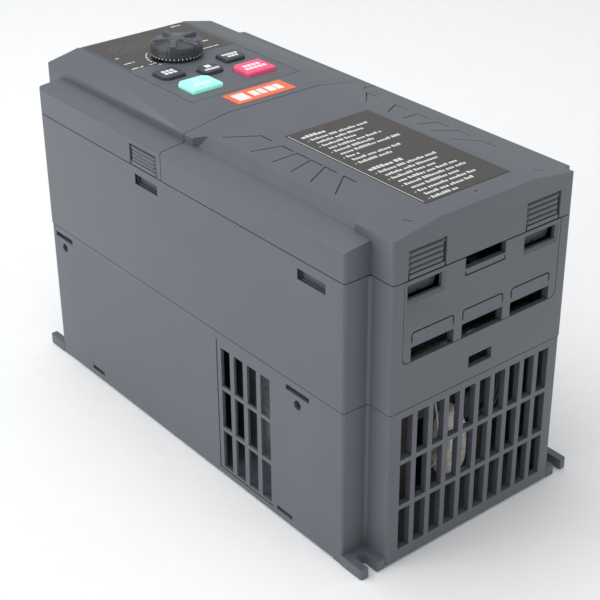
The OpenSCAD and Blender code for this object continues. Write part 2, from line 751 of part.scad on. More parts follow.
module key_cap(spec) {
  foot_z = keypad_board_z + board_t + 1.2 + key_travel;
  flange_z = case_d - keypad_skin - 1.4;
  translate([spec[0][0], spec[0][1], 0]) {
    translate([0, 0, foot_z])
      linear_extrude(height = case_d + key_rise - 0.5 - foot_z) polygon(rounded(key_pts(spec), 1));
    translate([0, 0, case_d + key_rise - 0.5])
      linear_extrude(height = 0.5) polygon(rounded(key_pts(spec, -0.5), 0.8));
    translate([0, 0, foot_z])
      linear_extrude(height = flange_z - foot_z + 0.9) polygon(key_pts(spec, 1));
  }
}

module program_key() color(dark_plastic) key_cap(program_spec);
module shift_key() color(dark_plastic) key_cap(shift_spec);
module jog_key() color(dark_plastic) key_cap(jog_spec);
module run_key() color([0.6, 0.95, 0.85]) key_cap(run_spec);
module stop_key() color([0.95, 0.3, 0.45]) key_cap(stop_spec);

module keypad_case() color(case_grey) {
  low = case_d - keypad_depth;
  mid_y = (keypad_y0 + keypad_y1) / 2;
  long = keypad_y1 - keypad_y0;
  difference() {
    translate([0, mid_y, low]) round_box([keypad_w, long, keypad_depth], 0.8);
    translate([0, mid_y, low - 1])
      linear_extrude(height = keypad_depth - keypad_skin + 1)
        polygon(rect_pts(keypad_w - 4, long - 4));
    for (spec = key_specs)
      translate([spec[0][0], spec[0][1], case_d - keypad_skin - 1])
        linear_extrude(height = keypad_skin + 2) polygon(rounded(key_pts(spec, key_gap), 1));
    // window seat and the opening behind it
    span([-keypad_w / 2 + 0.9, window_y0 - 0.2, case_d - window_t],
         [keypad_w / 2 - 0.9, keypad_y1 - 0.8, case_d + 1]);
    span([-29, 112, case_d - keypad_skin - 1], [29, 134, case_d + 1]);
    translate([knob_pos[0], knob_pos[1], case_d - keypad_skin - 1]) cylinder(d = 9, h = 5);
  }
}

module display_window() color([0.17, 0.15, 0.13]) {
  difference() {
    span([-keypad_w / 2 + 1.1, window_y0, case_d - window_t + eps],
         [keypad_w / 2 - 1.1, keypad_y1 - 1, case_d]);
    translate([knob_pos[0], knob_pos[1], case_d - window_t - 1]) cylinder(d = 9, h = 4);
  }
}

module digit_display() color([0.1, 0.1, 0.1])
  difference() {
    span([-27, 114, keypad_board_z + board_t], [27, 132, case_d - window_t - 0.4]);
    for (i = [-2 : 2])
      translate([i * 10.4, 123, case_d - window_t - 0.7]) digit_segments();
  }

// Seven bar segments of one digit, as shallow grooves
module digit_segments() {
  w = 6;
  h = 12;
  for (y = [-h / 2, 0, h / 2])
    translate([-w / 2 + 0.7, y - 0.5, 0]) cube([w - 1.4, 1, 1]);
  for (x = [-w / 2, w / 2], y = [-h / 2 + 0.8, 0.8])
    translate([x - 0.5, y, 0]) cube([1, h / 2 - 1.6, 1]);
}

module keypad_board() color(board_green)
  difference() {
    span([-31, keypad_y0 + 3, keypad_board_z], [31, keypad_y1 - 3, keypad_board_z + board_t]);
    translate([knob_pos[0], knob_pos[1], keypad_board_z - 1]) cylinder(d = 5, h = 4);
  }

module keypad_plug() color([0.9, 0.9, 0.88])
  span([-6, 56, keypad_board_z - 12], [6, 62, keypad_board_z]);

module encoder_body() color([0.4, 0.42, 0.45])
  difference() {
    translate([knob_pos[0], knob_pos[1], keypad_board_z + board_t])
      translate([-6.5, -6.5, 0]) cube([13, 13, 3.6]);
    translate([knob_pos[0], knob_pos[1], keypad_board_z]) cylinder(d = 6.5, h = 8);
  }

// Switch plunger that the shaft turns on and presses down
module encoder_plunger() color([0.85, 0.85, 0.85])
  translate([knob_pos[0], knob_pos[1], 0]) {
    difference() {
      translate([0, 0, keypad_board_z + board_t + knob_travel + 0.4]) cylinder(d = 6.4, h = 2.4);
      translate([0, 0, keypad_board_z + board_t + knob_travel + 1.2]) cylinder(d = 3.1, h = 4);
    }
  }

module knob_shaft() color(steel)
  translate([knob_pos[0], knob_pos[1], 0]) {
    shaft_z = keypad_board_z + board_t + knob_travel + 1.3;
    translate([0, 0, shaft_z]) cylinder(d = 3, h = 3);
    translate([0, 0, shaft_z + 2.2]) cylinder(d = 6, h = case_d + 4.6 - shaft_z - 2.2);
  }

module navigation_knob() color([0.22, 0.24, 0.28]) {
  low = case_d + knob_travel + 0.4;
  high = case_d + knob_h;
  r = knob_d / 2;
  flutes = 40;
  star = 5;
  translate([knob_pos[0], knob_pos[1], 0])
    difference() {
      rotate_extrude()
        polygon([
          [0, low], [r, low], [r, high - 1.2], [r - 0.5, high - 0.4], [r - 1.4, high], [0, high]
        ]);
      translate([0, 0, low - 1]) cylinder(d = 6, h = 1 + case_d + 4.6 - low);
      difference() {
        translate([0, 0, low - 1]) cylinder(r = r - 2, h = 3);
        translate([0, 0, low - 2]) cylinder(r = 5, h = 5);
      }
      for (i = [0 : flutes - 1])
        rotate([0, 0, i * 360 / flutes])
          translate([r + 0.3, 0, low + 1.6]) cylinder(r = 0.5, h = high, $fn = 16);
      // finger hollows between the arms of the star, deeper towards the rim
      for (i = [0 : star - 1])
        rotate([0, 0, i * 360 / star + knob_turn])
          translate([4.4, 0, high - 0.7]) rotate([0, 8, 0])
            linear_extrude(height = 5)
              polygon(rounded([[0, -1.7], [11.4, -8.3], [11.4, 8.3], [0, 1.7]], 0.6));
    }
}

// ---------- Cooling ----------

module heat_sink() color(alloy) {
  pitch = (2 * sink_x - fin_t) / (fin_n - 1);
  difference() {
    union() {
      span([-sink_x, sink_y0, sink_base_z], [sink_x, sink_y1, sink_top_z]);
      for (i = [0 : fin_n - 1])
        span([-sink_x + i * pitch, sink_y0, floor_z],
             [-sink_x + i * pitch + fin_t, sink_y1, sink_base_z + 1]);
    }
    for (p = module_screw_pts) translate([p[0], p[1], sink_top_z - 6]) cylinder(d = 4.2, h = 8);
    for (p = post_pts) translate([p[0], p[1], sink_top_z - 6]) cylinder(d = 3.4, h = 8);
  }
}

module_screw_pts = [[-26, 0], [26, 0], [-26, 84], [26, 84], [0, -46], [0, -14]];
post_pts = [[-44, -52], [44, -52], [-44, 96], [44, 96]];

module fan_frame() color(dark_plastic) {
  mid = [0, fan_y, fan_z];
  hub_r = 16;
  difference() {
    translate(mid) rotate([-90, 0, 0])
      difference() {
        translate([-fan_size / 2, -fan_size / 2, 0]) cube([fan_size, fan_size, fan_t]);
        translate([0, 0, -1]) cylinder(r = fan_size / 2 - 2, h = fan_t + 2, $fn = 96);
        translate([0, 0, -1])
          four_ways(fan_size / 2 - 4.25, fan_size / 2 - 4.25) cylinder(d = 4.4, h = fan_t + 2);
      }
  }
  // motor plate, its four struts and the axle tube
  translate(mid) rotate([-90, 0, 0]) {
    difference() {
      union() {
        translate([0, 0, fan_t - 2.5]) cylinder(r = hub_r, h = 2.5);
        translate([0, 0, 8]) cylinder(d = 9, h = fan_t - 8);
        for (a = [45 : 90 : 315])
          rotate([0, 0, a]) translate([hub_r - 1, -1.5, fan_t - 2.5])
            cube([fan_size / 2 - 2 - hub_r + 2, 3, 2.5]);
      }
      translate([0, 0, 7]) cylinder(d = 3.1, h = fan_t - 9);
    }
  }
}

module fan_rotor() color([0.12, 0.12, 0.13])
  translate([0, fan_y, fan_z]) rotate([-90, 0, 0]) {
    difference() {
      translate([0, 0, 2]) cylinder(r = 16, h = 19);
      translate([0, 0, 4]) cylinder(r = 14.4, h = 20);
    }
    translate([0, 0, 3]) cylinder(d = 3, h = 18);
    intersection() {
      for (i = [0 : fan_blades - 1])
        rotate([0, 0, i * 360 / fan_blades])
          translate([26, 0, 12]) rotate([38, 0, 0]) cube([24, 24, 1.6], center = true);
      difference() {
        translate([0, 0, 3]) cylinder(r = fan_size / 2 - 3.2, h = 18, $fn = 96);
        translate([0, 0, 2]) cylinder(r = 15.5, h = 20);
      }
    }
  }

module fan_screws() color(steel)
  fan_bolts() mirror([0, 0, 1]) screw(4, fan_t + 4, 7, 2.6);

// ---------- Power section ----------

choke_y = -101;                 // middle of the choke
choke_z0 = floor_z;             // foot of the choke

module choke_core() color([0.35, 0.33, 0.32])
  difference() {
    span([-30, choke_y - 15, choke_z0], [30, choke_y + 15, choke_z0 + 58]);
    for (sx = [-1, 1])
      span([sx * 14.5 - 6.5, choke_y - 16, choke_z0 + 9], [sx * 14.5 + 6.5, choke_y + 16, choke_z0 + 49]);
  }

module choke_winding() color([0.8, 0.8, 0.76])
  difference() {
    translate([0, choke_y, choke_z0 + 9.5]) round_box([40, 48, 39], 8, 8);
    span([-8.1, choke_y - 15.1, choke_z0], [8.1, choke_y + 15.1, choke_z0 + 60]);
    for (sx = [-1, 1])
      span([sx * 31 - 10, choke_y - 15.1, choke_z0], [sx * 31 + 10, choke_y + 15.1, choke_z0 + 60]);
  }

module power_module() color([0.25, 0.25, 0.27]) {
  difference() {
    span([-31, -8, sink_top_z], [31, 92, sink_top_z + 12]);
    for (p = [for (k = [0 : 3]) module_screw_pts[k]])
      translate([p[0], p[1], sink_top_z - 1]) cylinder(d = 4.6, h = 14);
  }
  for (i = [0 : 7], sx = [-1, 1])
    span([sx * 22 - 0.5, 12 + i * 8, sink_top_z + 12 - eps], [sx * 22 + 0.5, 13 + i * 8, power_board_z]);
}

module rectifier_bridge() color([0.2, 0.2, 0.22]) {
  difference() {
    span([-18, -50, sink_top_z], [18, -10, sink_top_z + 10]);
    for (k = [4, 5])
      translate([module_screw_pts[k][0], module_screw_pts[k][1], sink_top_z - 1]) cylinder(d = 4.6, h = 14);
  }
  for (i = [0 : 3], sx = [-1, 1])
    span([sx * 12 - 0.5, -42 + i * 8, sink_top_z + 10 - eps], [sx * 12 + 0.5, -41 + i * 8, power_board_z]);
}

module module_screws() color(steel)
  for (k = [0 : 5])
    translate([module_screw_pts[k][0], module_screw_pts[k][1], sink_top_z + (k < 4 ? 12 : 10)])
      screw(4, (k < 4 ? 16 : 14), 7.4, 3);

module power_board() color(board_green)
  difference() {
    span([-63, -118, power_board_z], [63, 106, power_top_z]);
    for (p = post_pts) translate([p[0], p[1], power_board_z - 1]) cylinder(d = 3.4, h = 4);
    four_ways(boss_x, boss_y) translate([0, 0, power_board_z - 1]) cylinder(d = 10, h = 4);
  }

control_post_pts = [[-54, -60], [54, -60], [-54, 100], [54, 100]];

module power_board_posts() color([0.8, 0.72, 0.4])
  for (p = post_pts)
    translate([p[0], p[1], sink_top_z])
      difference() {
        cylinder(d = 8, h = power_board_z - sink_top_z);
        translate([0, 0, 16]) cylinder(d = 3.2, h = 20);
      }

module bus_capacitors() color([0.15, 0.18, 0.3])
  for (x = [-34, 0, 34], y = [22, 62])
    translate([x, y, power_top_z])
      difference() {
        union() {
          cylinder(d = 30, h = 40);
          translate([0, 0, 40]) cylinder(d = 27, h = 0.6);
        }
        for (a = [0, 60, 120])
          rotate([0, 0, a]) translate([-9, -0.4, 40.2]) cube([18, 0.8, 2]);
      }

module charge_relays() color([0.1, 0.1, 0.12])
  for (x = [-46, -30])
    span([x - 6.5, -40, power_top_z], [x + 6.5, -11, power_top_z + 16]);

module current_sensors() color([0.12, 0.12, 0.14])
  for (x = [22, 38])
    difference() {
      span([x - 6.5, -84, power_top_z], [x + 6.5, -64, power_top_z + 22]);
      translate([x - 8, -74, power_top_z + 12]) rotate([0, 90, 0]) cylinder(d = 8, h = 16);
    }

module surge_varistors() color([0.15, 0.3, 0.6])
  for (i = [0 : 2]) {
    translate([-44 + i * 12, -72, power_top_z + 9.5]) rotate([0, 90, 0]) cylinder(d = 16, h = 4.4);
    span([-44 + i * 12, -75, power_top_z], [-39.6 + i * 12, -69, power_top_z + 4]);
  }

module switching_transformer() color([0.75, 0.65, 0.3]) {
  span([12, -40, power_top_z], [40, -14, power_top_z + 5]);
  span([15, -38, power_top_z + 5], [37, -16, power_top_z + 20]);
  span([12, -40, power_top_z + 20], [40, -14, power_top_z + 25]);
}

module main_terminal_block() color([0.14, 0.14, 0.15]) {
  x0 = -terminal_n * terminal_pitch / 2;
  wide = terminal_n * terminal_pitch;
  z0 = power_top_z;
  difference() {
    span([x0, terminal_y0 + 3, z0], [x0 + wide, terminal_y0 + 26, z0 + 14]);
    for (i = [0 : terminal_n - 1])
      translate([x0 + (i + 0.5) * terminal_pitch, terminal_y0 + 12, z0 + 4]) cylinder(d = 4.4, h = 12);
  }
  for (i = [0 : terminal_n])
    span([x0 + i * terminal_pitch - 0.8, terminal_y0 + 3, z0 + 14 - eps],
         [x0 + i * terminal_pitch + 0.8, terminal_y0 + 26, z0 + 20]);
}

module main_terminal_screws() color(steel)
  for (i = [0 : terminal_n - 1])
    translate([(i + 0.5 - terminal_n / 2) * terminal_pitch, terminal_y0 + 12, power_top_z + 14])
      screw(4, 9, 8, 3);

module ground_bar() color(steel)
  difference() {
    span([-40, -134.6, ground_z], [40, -123, ground_z + 2]);
    for (x = [-28, 28]) translate([x, -129, ground_z - 1]) cylinder(d = 4.4, h = 4);
  }

module ground_screws() color([0.3, 0.6, 0.3])
  for (x = [-28, 28]) translate([x, -129, ground_z + 2]) screw(4, 6, 8, 3);

// ---------- Control section ----------

module control_board() color(board_green)
  difference() {
    span([-60, -68, control_board_z], [60, 120, control_top_z]);
    for (p = control_post_pts) translate([p[0], p[1], control_board_z - 1]) cylinder(d = 3.4, h = 4);
  }

module control_board_posts() color([0.8, 0.72, 0.4])
  for (p = control_post_pts)
    translate([p[0], p[1], power_top_z])
      difference() {
        cylinder(d = 7, h = control_board_z - power_top_z);
        translate([0, 0, 30]) cylinder(d = 3.2, h = 20);
      }

module control_terminals() color([0.2, 0.5, 0.35]) {
  x0 = -control_ways * control_pitch / 2;
  difference() {
    span([x0, -66, control_top_z], [x0 + control_ways * control_pitch, -54, control_top_z + 10]);
    for (i = [0 : control_ways - 1]) {
      translate([x0 + (i + 0.5) * control_pitch, -59, control_top_z + 4]) cylinder(d = 3.4, h = 8);
      span([x0 + i * control_pitch + 1, -67, control_top_z + 1.6],
           [x0 + (i + 1) * control_pitch - 1, -62, control_top_z + 5.4]);
    }
  }
}

module control_terminal_screws() color(steel)
  for (i = [0 : control_ways - 1])
    translate([(i + 0.5 - control_ways / 2) * control_pitch, -59, control_top_z + 8.4])
      screw(2.4, 4, 3.2, 1);

module keypad_socket() color([0.85, 0.85, 0.82])
  difference() {
    span([-8.5, 52, control_top_z], [8.5, 66, keypad_board_z - 4]);
    span([-6.4, 55.6, keypad_board_z - 13], [6.4, 62.4, keypad_board_z]);
  }

module ribbon_cable() color([0.75, 0.75, 0.78])
  for (i = [0 : 9])
    span([56.6, -20 + i * 2.5, power_top_z], [58, -18.2 + i * 2.5, control_board_z]);

module board_screws() color(steel) {
  for (p = post_pts) translate([p[0], p[1], power_top_z]) screw(3, 8, 5.6, 2.2);
  for (p = control_post_pts) translate([p[0], p[1], control_top_z]) screw(3, 8, 5.6, 2.2);
}

module case_screws() color(steel)
  for (sx = [-1, 1], sy = [-1, 1])
    translate([sx * boss_x, sy * boss_y, 4]) mirror([0, 0, 1]) screw(4, 88, 7.4, 2.8);

lower_housing();
middle_housing();
upper_cover();
terminal_cover();
cable_entry_plate();
cover_latch_left();
cover_latch_right();
front_latch_left();
front_latch_right();
badge_plate();
front_label();
keypad_case();
display_window();
digit_display();
keypad_board();
keypad_plug();
program_key();
shift_key();
jog_key();
run_key();
stop_key();
navigation_knob();
knob_shaft();
encoder_plunger();
encoder_body();
heat_sink();
fan_frame();
fan_rotor();
fan_screws();
choke_core();
choke_winding();
power_module();
rectifier_bridge();
module_screws();
power_board();
power_board_posts();
bus_capacitors();
charge_relays();
current_sensors();
surge_varistors();
switching_transformer();
main_terminal_block();
main_terminal_screws();
ground_bar();
ground_screws();
control_board();
control_board_posts();
control_terminals();
control_terminal_screws();
keypad_socket();
ribbon_cable();
board_screws();
case_screws();
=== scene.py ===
"""Looks of the variable frequency drive: camera, light, materials, keys, knob, printed marks and insides.

The drive lies on its back: +Z is out of its front, +Y is its keypad end, -Y its terminal end.
"""

import json
import math
import random

import bpy
from mathutils import Matrix, Vector, noise


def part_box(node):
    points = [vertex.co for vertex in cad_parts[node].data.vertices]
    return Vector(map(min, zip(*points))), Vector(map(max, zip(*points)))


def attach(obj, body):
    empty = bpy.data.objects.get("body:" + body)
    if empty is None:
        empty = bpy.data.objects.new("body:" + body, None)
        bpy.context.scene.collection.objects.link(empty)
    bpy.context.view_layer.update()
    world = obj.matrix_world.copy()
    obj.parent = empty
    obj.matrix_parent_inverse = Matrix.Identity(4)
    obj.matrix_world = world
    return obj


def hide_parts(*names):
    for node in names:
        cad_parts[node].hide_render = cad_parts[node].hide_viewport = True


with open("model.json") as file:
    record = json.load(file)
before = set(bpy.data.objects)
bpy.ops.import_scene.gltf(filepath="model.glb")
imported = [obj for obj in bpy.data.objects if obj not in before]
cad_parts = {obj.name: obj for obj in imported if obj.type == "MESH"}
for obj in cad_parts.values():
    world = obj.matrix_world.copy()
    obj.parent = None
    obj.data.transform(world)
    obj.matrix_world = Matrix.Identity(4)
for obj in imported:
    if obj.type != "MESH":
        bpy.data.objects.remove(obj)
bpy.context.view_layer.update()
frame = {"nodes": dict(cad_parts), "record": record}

MM = 0.001
NODES = frame["nodes"]
RECORD = frame["record"]
TAU = 2 * math.pi


# ---------- Camera, floor and light ----------

CAMERA_PLACE = Vector((-415.8, -523.1, 439.9)) * MM
CAMERA_AZIMUTH = math.radians(-38.99)    # 0 looks along +Y
CAMERA_ELEVATION = math.radians(28.21)
CAMERA_ROLL = math.radians(-0.38)
CAMERA_LENS = 86.0                       # on a 36 mm wide sensor
CAMERA_SHIFT = -0.05


def add_camera():
    """Camera at the photograph's viewing angle."""
    cos_e = math.cos(CAMERA_ELEVATION)
    back = Vector((
        math.sin(CAMERA_AZIMUTH) * cos_e,
        -math.cos(CAMERA_AZIMUTH) * cos_e,
        math.sin(CAMERA_ELEVATION),
    ))
    right = Vector((0, 0, 1)).cross(back).normalized()
    up = back.cross(right)
    cos_r, sin_r = math.cos(CAMERA_ROLL), math.sin(CAMERA_ROLL)
    right, up = cos_r * right + sin_r * up, cos_r * up - sin_r * right
    data = bpy.data.cameras.new("camera")
    data.lens = CAMERA_LENS
    data.shift_y = CAMERA_SHIFT
    data.clip_start = 0.01
    camera = bpy.data.objects.new("camera", data)
    camera.matrix_world = Matrix((right, up, back)).transposed().to_4x4()
    camera.location = CAMERA_PLACE
    bpy.context.scene.collection.objects.link(camera)
    bpy.context.scene.camera = camera


def add_softbox(name, place, aim, size, watts, tint=(1, 1, 1)):
    """Square area light that points from place to aim."""
    data = bpy.data.lights.new(name, "AREA")
    data.shape = "SQUARE"
    data.size = size
    data.energy = watts
    data.color = tint
    lamp = bpy.data.objects.new(name, data)
    lamp.location = place
    lamp.rotation_euler = (Vector(aim) - Vector(place)).to_track_quat("-Z", "Y").to_euler()
    bpy.context.scene.collection.objects.link(lamp)


def add_studio():
    """Pale floor, pale surroundings and soft lights."""
    floor = mesh_object("floor", *grid_mesh(4, 4, lambda x, y: (x, y, -0.0004), 2))
    floor.data.materials.append(painted("floor_pale", (0.97, 0.97, 0.97), 0.75, 0.01))
    world = bpy.data.worlds.new("studio")
    world.use_nodes = True
    background = world.node_tree.nodes["Background"]
    background.inputs["Color"].default_value = (0.97, 0.985, 1.0, 1)
    background.inputs["Strength"].default_value = 0.62
    bpy.context.scene.world = world
    add_softbox("softbox_top", (-0.3, 0.3, 1.5), (0, 0, 0.1), 1.3, 12)
    add_softbox("softbox_left", (-1.35, 0.25, 0.5), (0, 0, 0.08), 1.0, 5.6, (0.96, 0.98, 1))
    add_softbox("softbox_end", (0.35, -1.5, 0.6), (0, 0, 0.1), 0.9, 1.4)
    bpy.context.scene.view_settings.view_transform = "Standard"


# ---------- Material helpers ----------

def new_material(name):
    """Material with its tree, its shader and an object coordinate output."""
    mat = bpy.data.materials.new(name)
    mat.use_nodes = True
    tree = mat.node_tree
    coords = tree.nodes.new("ShaderNodeTexCoord")
    return mat, tree, tree.nodes["Principled BSDF"], coords.outputs["Object"]


def noise_node(tree, where, size, detail=3.0, rough=0.55):
    """Noise whose lumps are about size metres across."""
    node = tree.nodes.new("ShaderNodeTexNoise")
    node.inputs["Scale"].default_value = 1 / size
    node.inputs["Detail"].default_value = detail
    node.inputs["Roughness"].default_value = rough
    tree.links.new(where, node.inputs["Vector"])
    return node.outputs["Fac"]


def cell_node(tree, where, size):
    """Distance inside cells about size metres across."""
    node = tree.nodes.new("ShaderNodeTexVoronoi")
    node.inputs["Scale"].default_value = 1 / size
    tree.links.new(where, node.inputs["Vector"])
    return node.outputs["Distance"]


def ramp(tree, factor, stops):
    """Colour ramp through (place, colour) stops."""
    node = tree.nodes.new("ShaderNodeValToRGB")
    marks = node.color_ramp.elements
    while len(marks) < len(stops):
        marks.new(0.5)
    for mark, (place, colour) in zip(marks, stops):
        mark.position = place
        mark.color = (*colour, 1)
    tree.links.new(factor, node.inputs["Fac"])
    return node.outputs["Color"]


def spread(tree, factor, low, high):
    """Maps a 0.3 to 0.7 noise to low and high."""
    node = tree.nodes.new("ShaderNodeMapRange")
    node.inputs["From Min"].default_value = 0.3
    node.inputs["From Max"].default_value = 0.7
    node.inputs["To Min"].default_value = low
    node.inputs["To Max"].default_value = high
    tree.links.new(factor, node.inputs["Value"])
    return node.outputs["Result"]


def bump(tree, shader, height, depth, strength=1.0, under=None):
    """Adds a bump of depth metres to the shader, over an earlier one."""
    node = tree.nodes.new("ShaderNodeBump")
    node.inputs["Strength"].default_value = strength
    node.inputs["Distance"].default_value = depth
    tree.links.new(height, node.inputs["Height"])
    if under is not None:
        tree.links.new(under, node.inputs["Normal"])
    tree.links.new(node.outputs["Normal"], shader.inputs["Normal"])
    return node.outputs["Normal"]


def shade(colour, factor):
    """Colour made lighter or darker."""
    return tuple(min(1.0, c * factor) for c in colour)


def moulded(name, colour, rough=0.5, grain=0.00035, depth=0.00002, mottle=0.05, level=0.5):
    """Moulded plastic: spark-eroded grain, faint cloudy colour and uneven gloss."""
    mat, tree, shader, where = new_material(name)
    cloud = noise_node(tree, where, 0.03)
    fleck = noise_node(tree, where, grain * 2, 2.0)
    mix = tree.nodes.new("ShaderNodeMix")
    mix.data_type = "FLOAT"
    mix.inputs["Factor"].default_value = 0.55
    tree.links.new(cloud, mix.inputs["A"])
    tree.links.new(fleck, mix.inputs["B"])
    tint = ramp(tree, mix.outputs["Result"], [
        (0.32, shade(colour, 1 - mottle)), (0.5, colour), (0.68, shade(colour, 1 + mottle)),
    ])
    tree.links.new(tint, shader.inputs["Base Color"])
    tree.links.new(spread(tree, fleck, rough - 0.05, rough + 0.06), shader.inputs["Roughness"])
    shader.inputs["Specular IOR Level"].default_value = level
    fine = bump(tree, shader, noise_node(tree, where, grain, 4.0, 0.7), depth)
    bump(tree, shader, cell_node(tree, where, grain * 1.6), depth * 0.5, 0.6, fine)
    return mat


def silicone_with_painted_glow(name, colour, painted_glow):
    """Silicone rubber with a painted glow: a faint emission in its own colour lifts it a little, in place of
    light through the translucent rubber.
    """
    mat = moulded(name, colour, 0.4, 0.00025, 0.000006, 0.03)
    shader = mat.node_tree.nodes["Principled BSDF"]
    # painted glow: the rubber emits its own colour, though it is no lamp
    shader.inputs["Emission Color"].default_value = (*colour, 1)
    shader.inputs["Emission Strength"].default_value = painted_glow
    return mat


def painted(name, colour, rough=0.4, mottle=0.03):
    """Smooth paint or lacquer with a faint orange peel."""
    mat, tree, shader, where = new_material(name)
    cloud = noise_node(tree, where, 0.012)
    tint = ramp(tree, cloud, [(0.3, shade(colour, 1 - mottle)), (0.7, shade(colour, 1 + mottle))])
    tree.links.new(tint, shader.inputs["Base Color"])
    tree.links.new(spread(tree, cloud, rough - 0.04, rough + 0.05), shader.inputs["Roughness"])
    bump(tree, shader, noise_node(tree, where, 0.0015), 0.00001)
    return mat


def metal(name, colour, rough=0.3, streak=(1, 1, 30), size=0.004, depth=0.00001):
    """Bare metal with streaks of drawing or machining along one axis."""
    mat, tree, shader, where = new_material(name)
    stretch = tree.nodes.new("ShaderNodeMapping")
    stretch.inputs["Scale"].default_value = streak
    tree.links.new(where, stretch.inputs["Vector"])
    lines = noise_node(tree, stretch.outputs["Vector"], size, 4.0, 0.6)
    stain = noise_node(tree, where, 0.01)
    tint = ramp(tree, stain, [(0.3, shade(colour, 0.86)), (0.7, shade(colour, 1.06))])
    tree.links.new(tint, shader.inputs["Base Color"])
    tree.links.new(spread(tree, lines, rough - 0.08, rough + 0.12), shader.inputs["Roughness"])
    shader.inputs["Metallic"].default_value = 1.0
    bump(tree, shader, lines, depth)
    return mat


def board_lacquer(name, colour):
    """Solder mask over copper tracks: slightly lighter where a track runs under it."""
    mat, tree, shader, where = new_material(name)
    tracks = tree.nodes.new("ShaderNodeTexBrick")
    tracks.inputs["Scale"].default_value = 120
    tracks.inputs["Mortar Size"].default_value = 0.03
    tracks.inputs["Mortar Smooth"].default_value = 0.1
    tracks.inputs["Color1"].default_value = (*shade(colour, 1.0), 1)
    tracks.inputs["Color2"].default_value = (*shade(colour, 1.25), 1)
    tracks.inputs["Mortar"].default_value = (*shade(colour, 0.6), 1)
    tree.links.new(where, tracks.inputs["Vector"])
    tree.links.new(tracks.outputs["Color"], shader.inputs["Base Color"])
    gloss = noise_node(tree, where, 0.002)
    tree.links.new(spread(tree, gloss, 0.28, 0.42), shader.inputs["Roughness"])
    bump(tree, shader, tracks.outputs["Fac"], 0.00004)
    return mat


def crumpled_foil(name, colour):
    """Foil and tape: part metallic, creased, with duller stained patches."""
    mat, tree, shader, where = new_material(name)
    crease = cell_node(tree, where, 0.004)
    stain = noise_node(tree, where, 0.008, 5.0, 0.65)
    tint = ramp(tree, stain, [
        (0.3, shade(colour, 0.6)), (0.48, shade(colour, 1.3)), (0.62, (0.97, 0.95, 0.88)),
    ])
    tree.links.new(tint, shader.inputs["Base Color"])
    tree.links.new(spread(tree, stain, 0.55, 0.3), shader.inputs["Roughness"])
    shader.inputs["Metallic"].default_value = 0.15
    first = bump(tree, shader, crease, 0.0008, 0.9)
    bump(tree, shader, stain, 0.0005, 0.7, first)
    return mat


def laminations(name, colour):
    """Stacked core plates: fine lines across Y under varnish."""
    mat, tree, shader, where = new_material(name)
    wave = tree.nodes.new("ShaderNodeTexWave")
    wave.bands_direction = "Y"
    wave.inputs["Scale"].default_value = 300
    wave.inputs["Distortion"].default_value = 0.4
    tree.links.new(where, wave.inputs["Vector"])
    tint = ramp(tree, wave.outputs["Fac"], [(0.2, shade(colour, 0.6)), (0.8, shade(colour, 1.3))])
    tree.links.new(tint, shader.inputs["Base Color"])
    tree.links.new(spread(tree, noise_node(tree, where, 0.004), 0.35, 0.55), shader.inputs["Roughness"])
    shader.inputs["Metallic"].default_value = 0.4
    bump(tree, shader, wave.outputs["Fac"], 0.0001)
    return mat


def tinted_window(name, colour):
    """Dark printed film behind clear gloss."""
    mat, tree, shader, where = new_material(name)
    cloud = noise_node(tree, where, 0.02)
    tint = ramp(tree, cloud, [(0.3, shade(colour, 0.9)), (0.7, shade(colour, 1.12))])
    tree.links.new(tint, shader.inputs["Base Color"])
    tree.links.new(spread(tree, cloud, 0.2, 0.26), shader.inputs["Roughness"])
    shader.inputs["Coat Weight"].default_value = 0.08
    shader.inputs["Specular IOR Level"].default_value = 0.3
    shader.inputs["Coat Roughness"].default_value = 0.12
    bump(tree, shader, noise_node(tree, where, 0.004), 0.000004)
    return mat


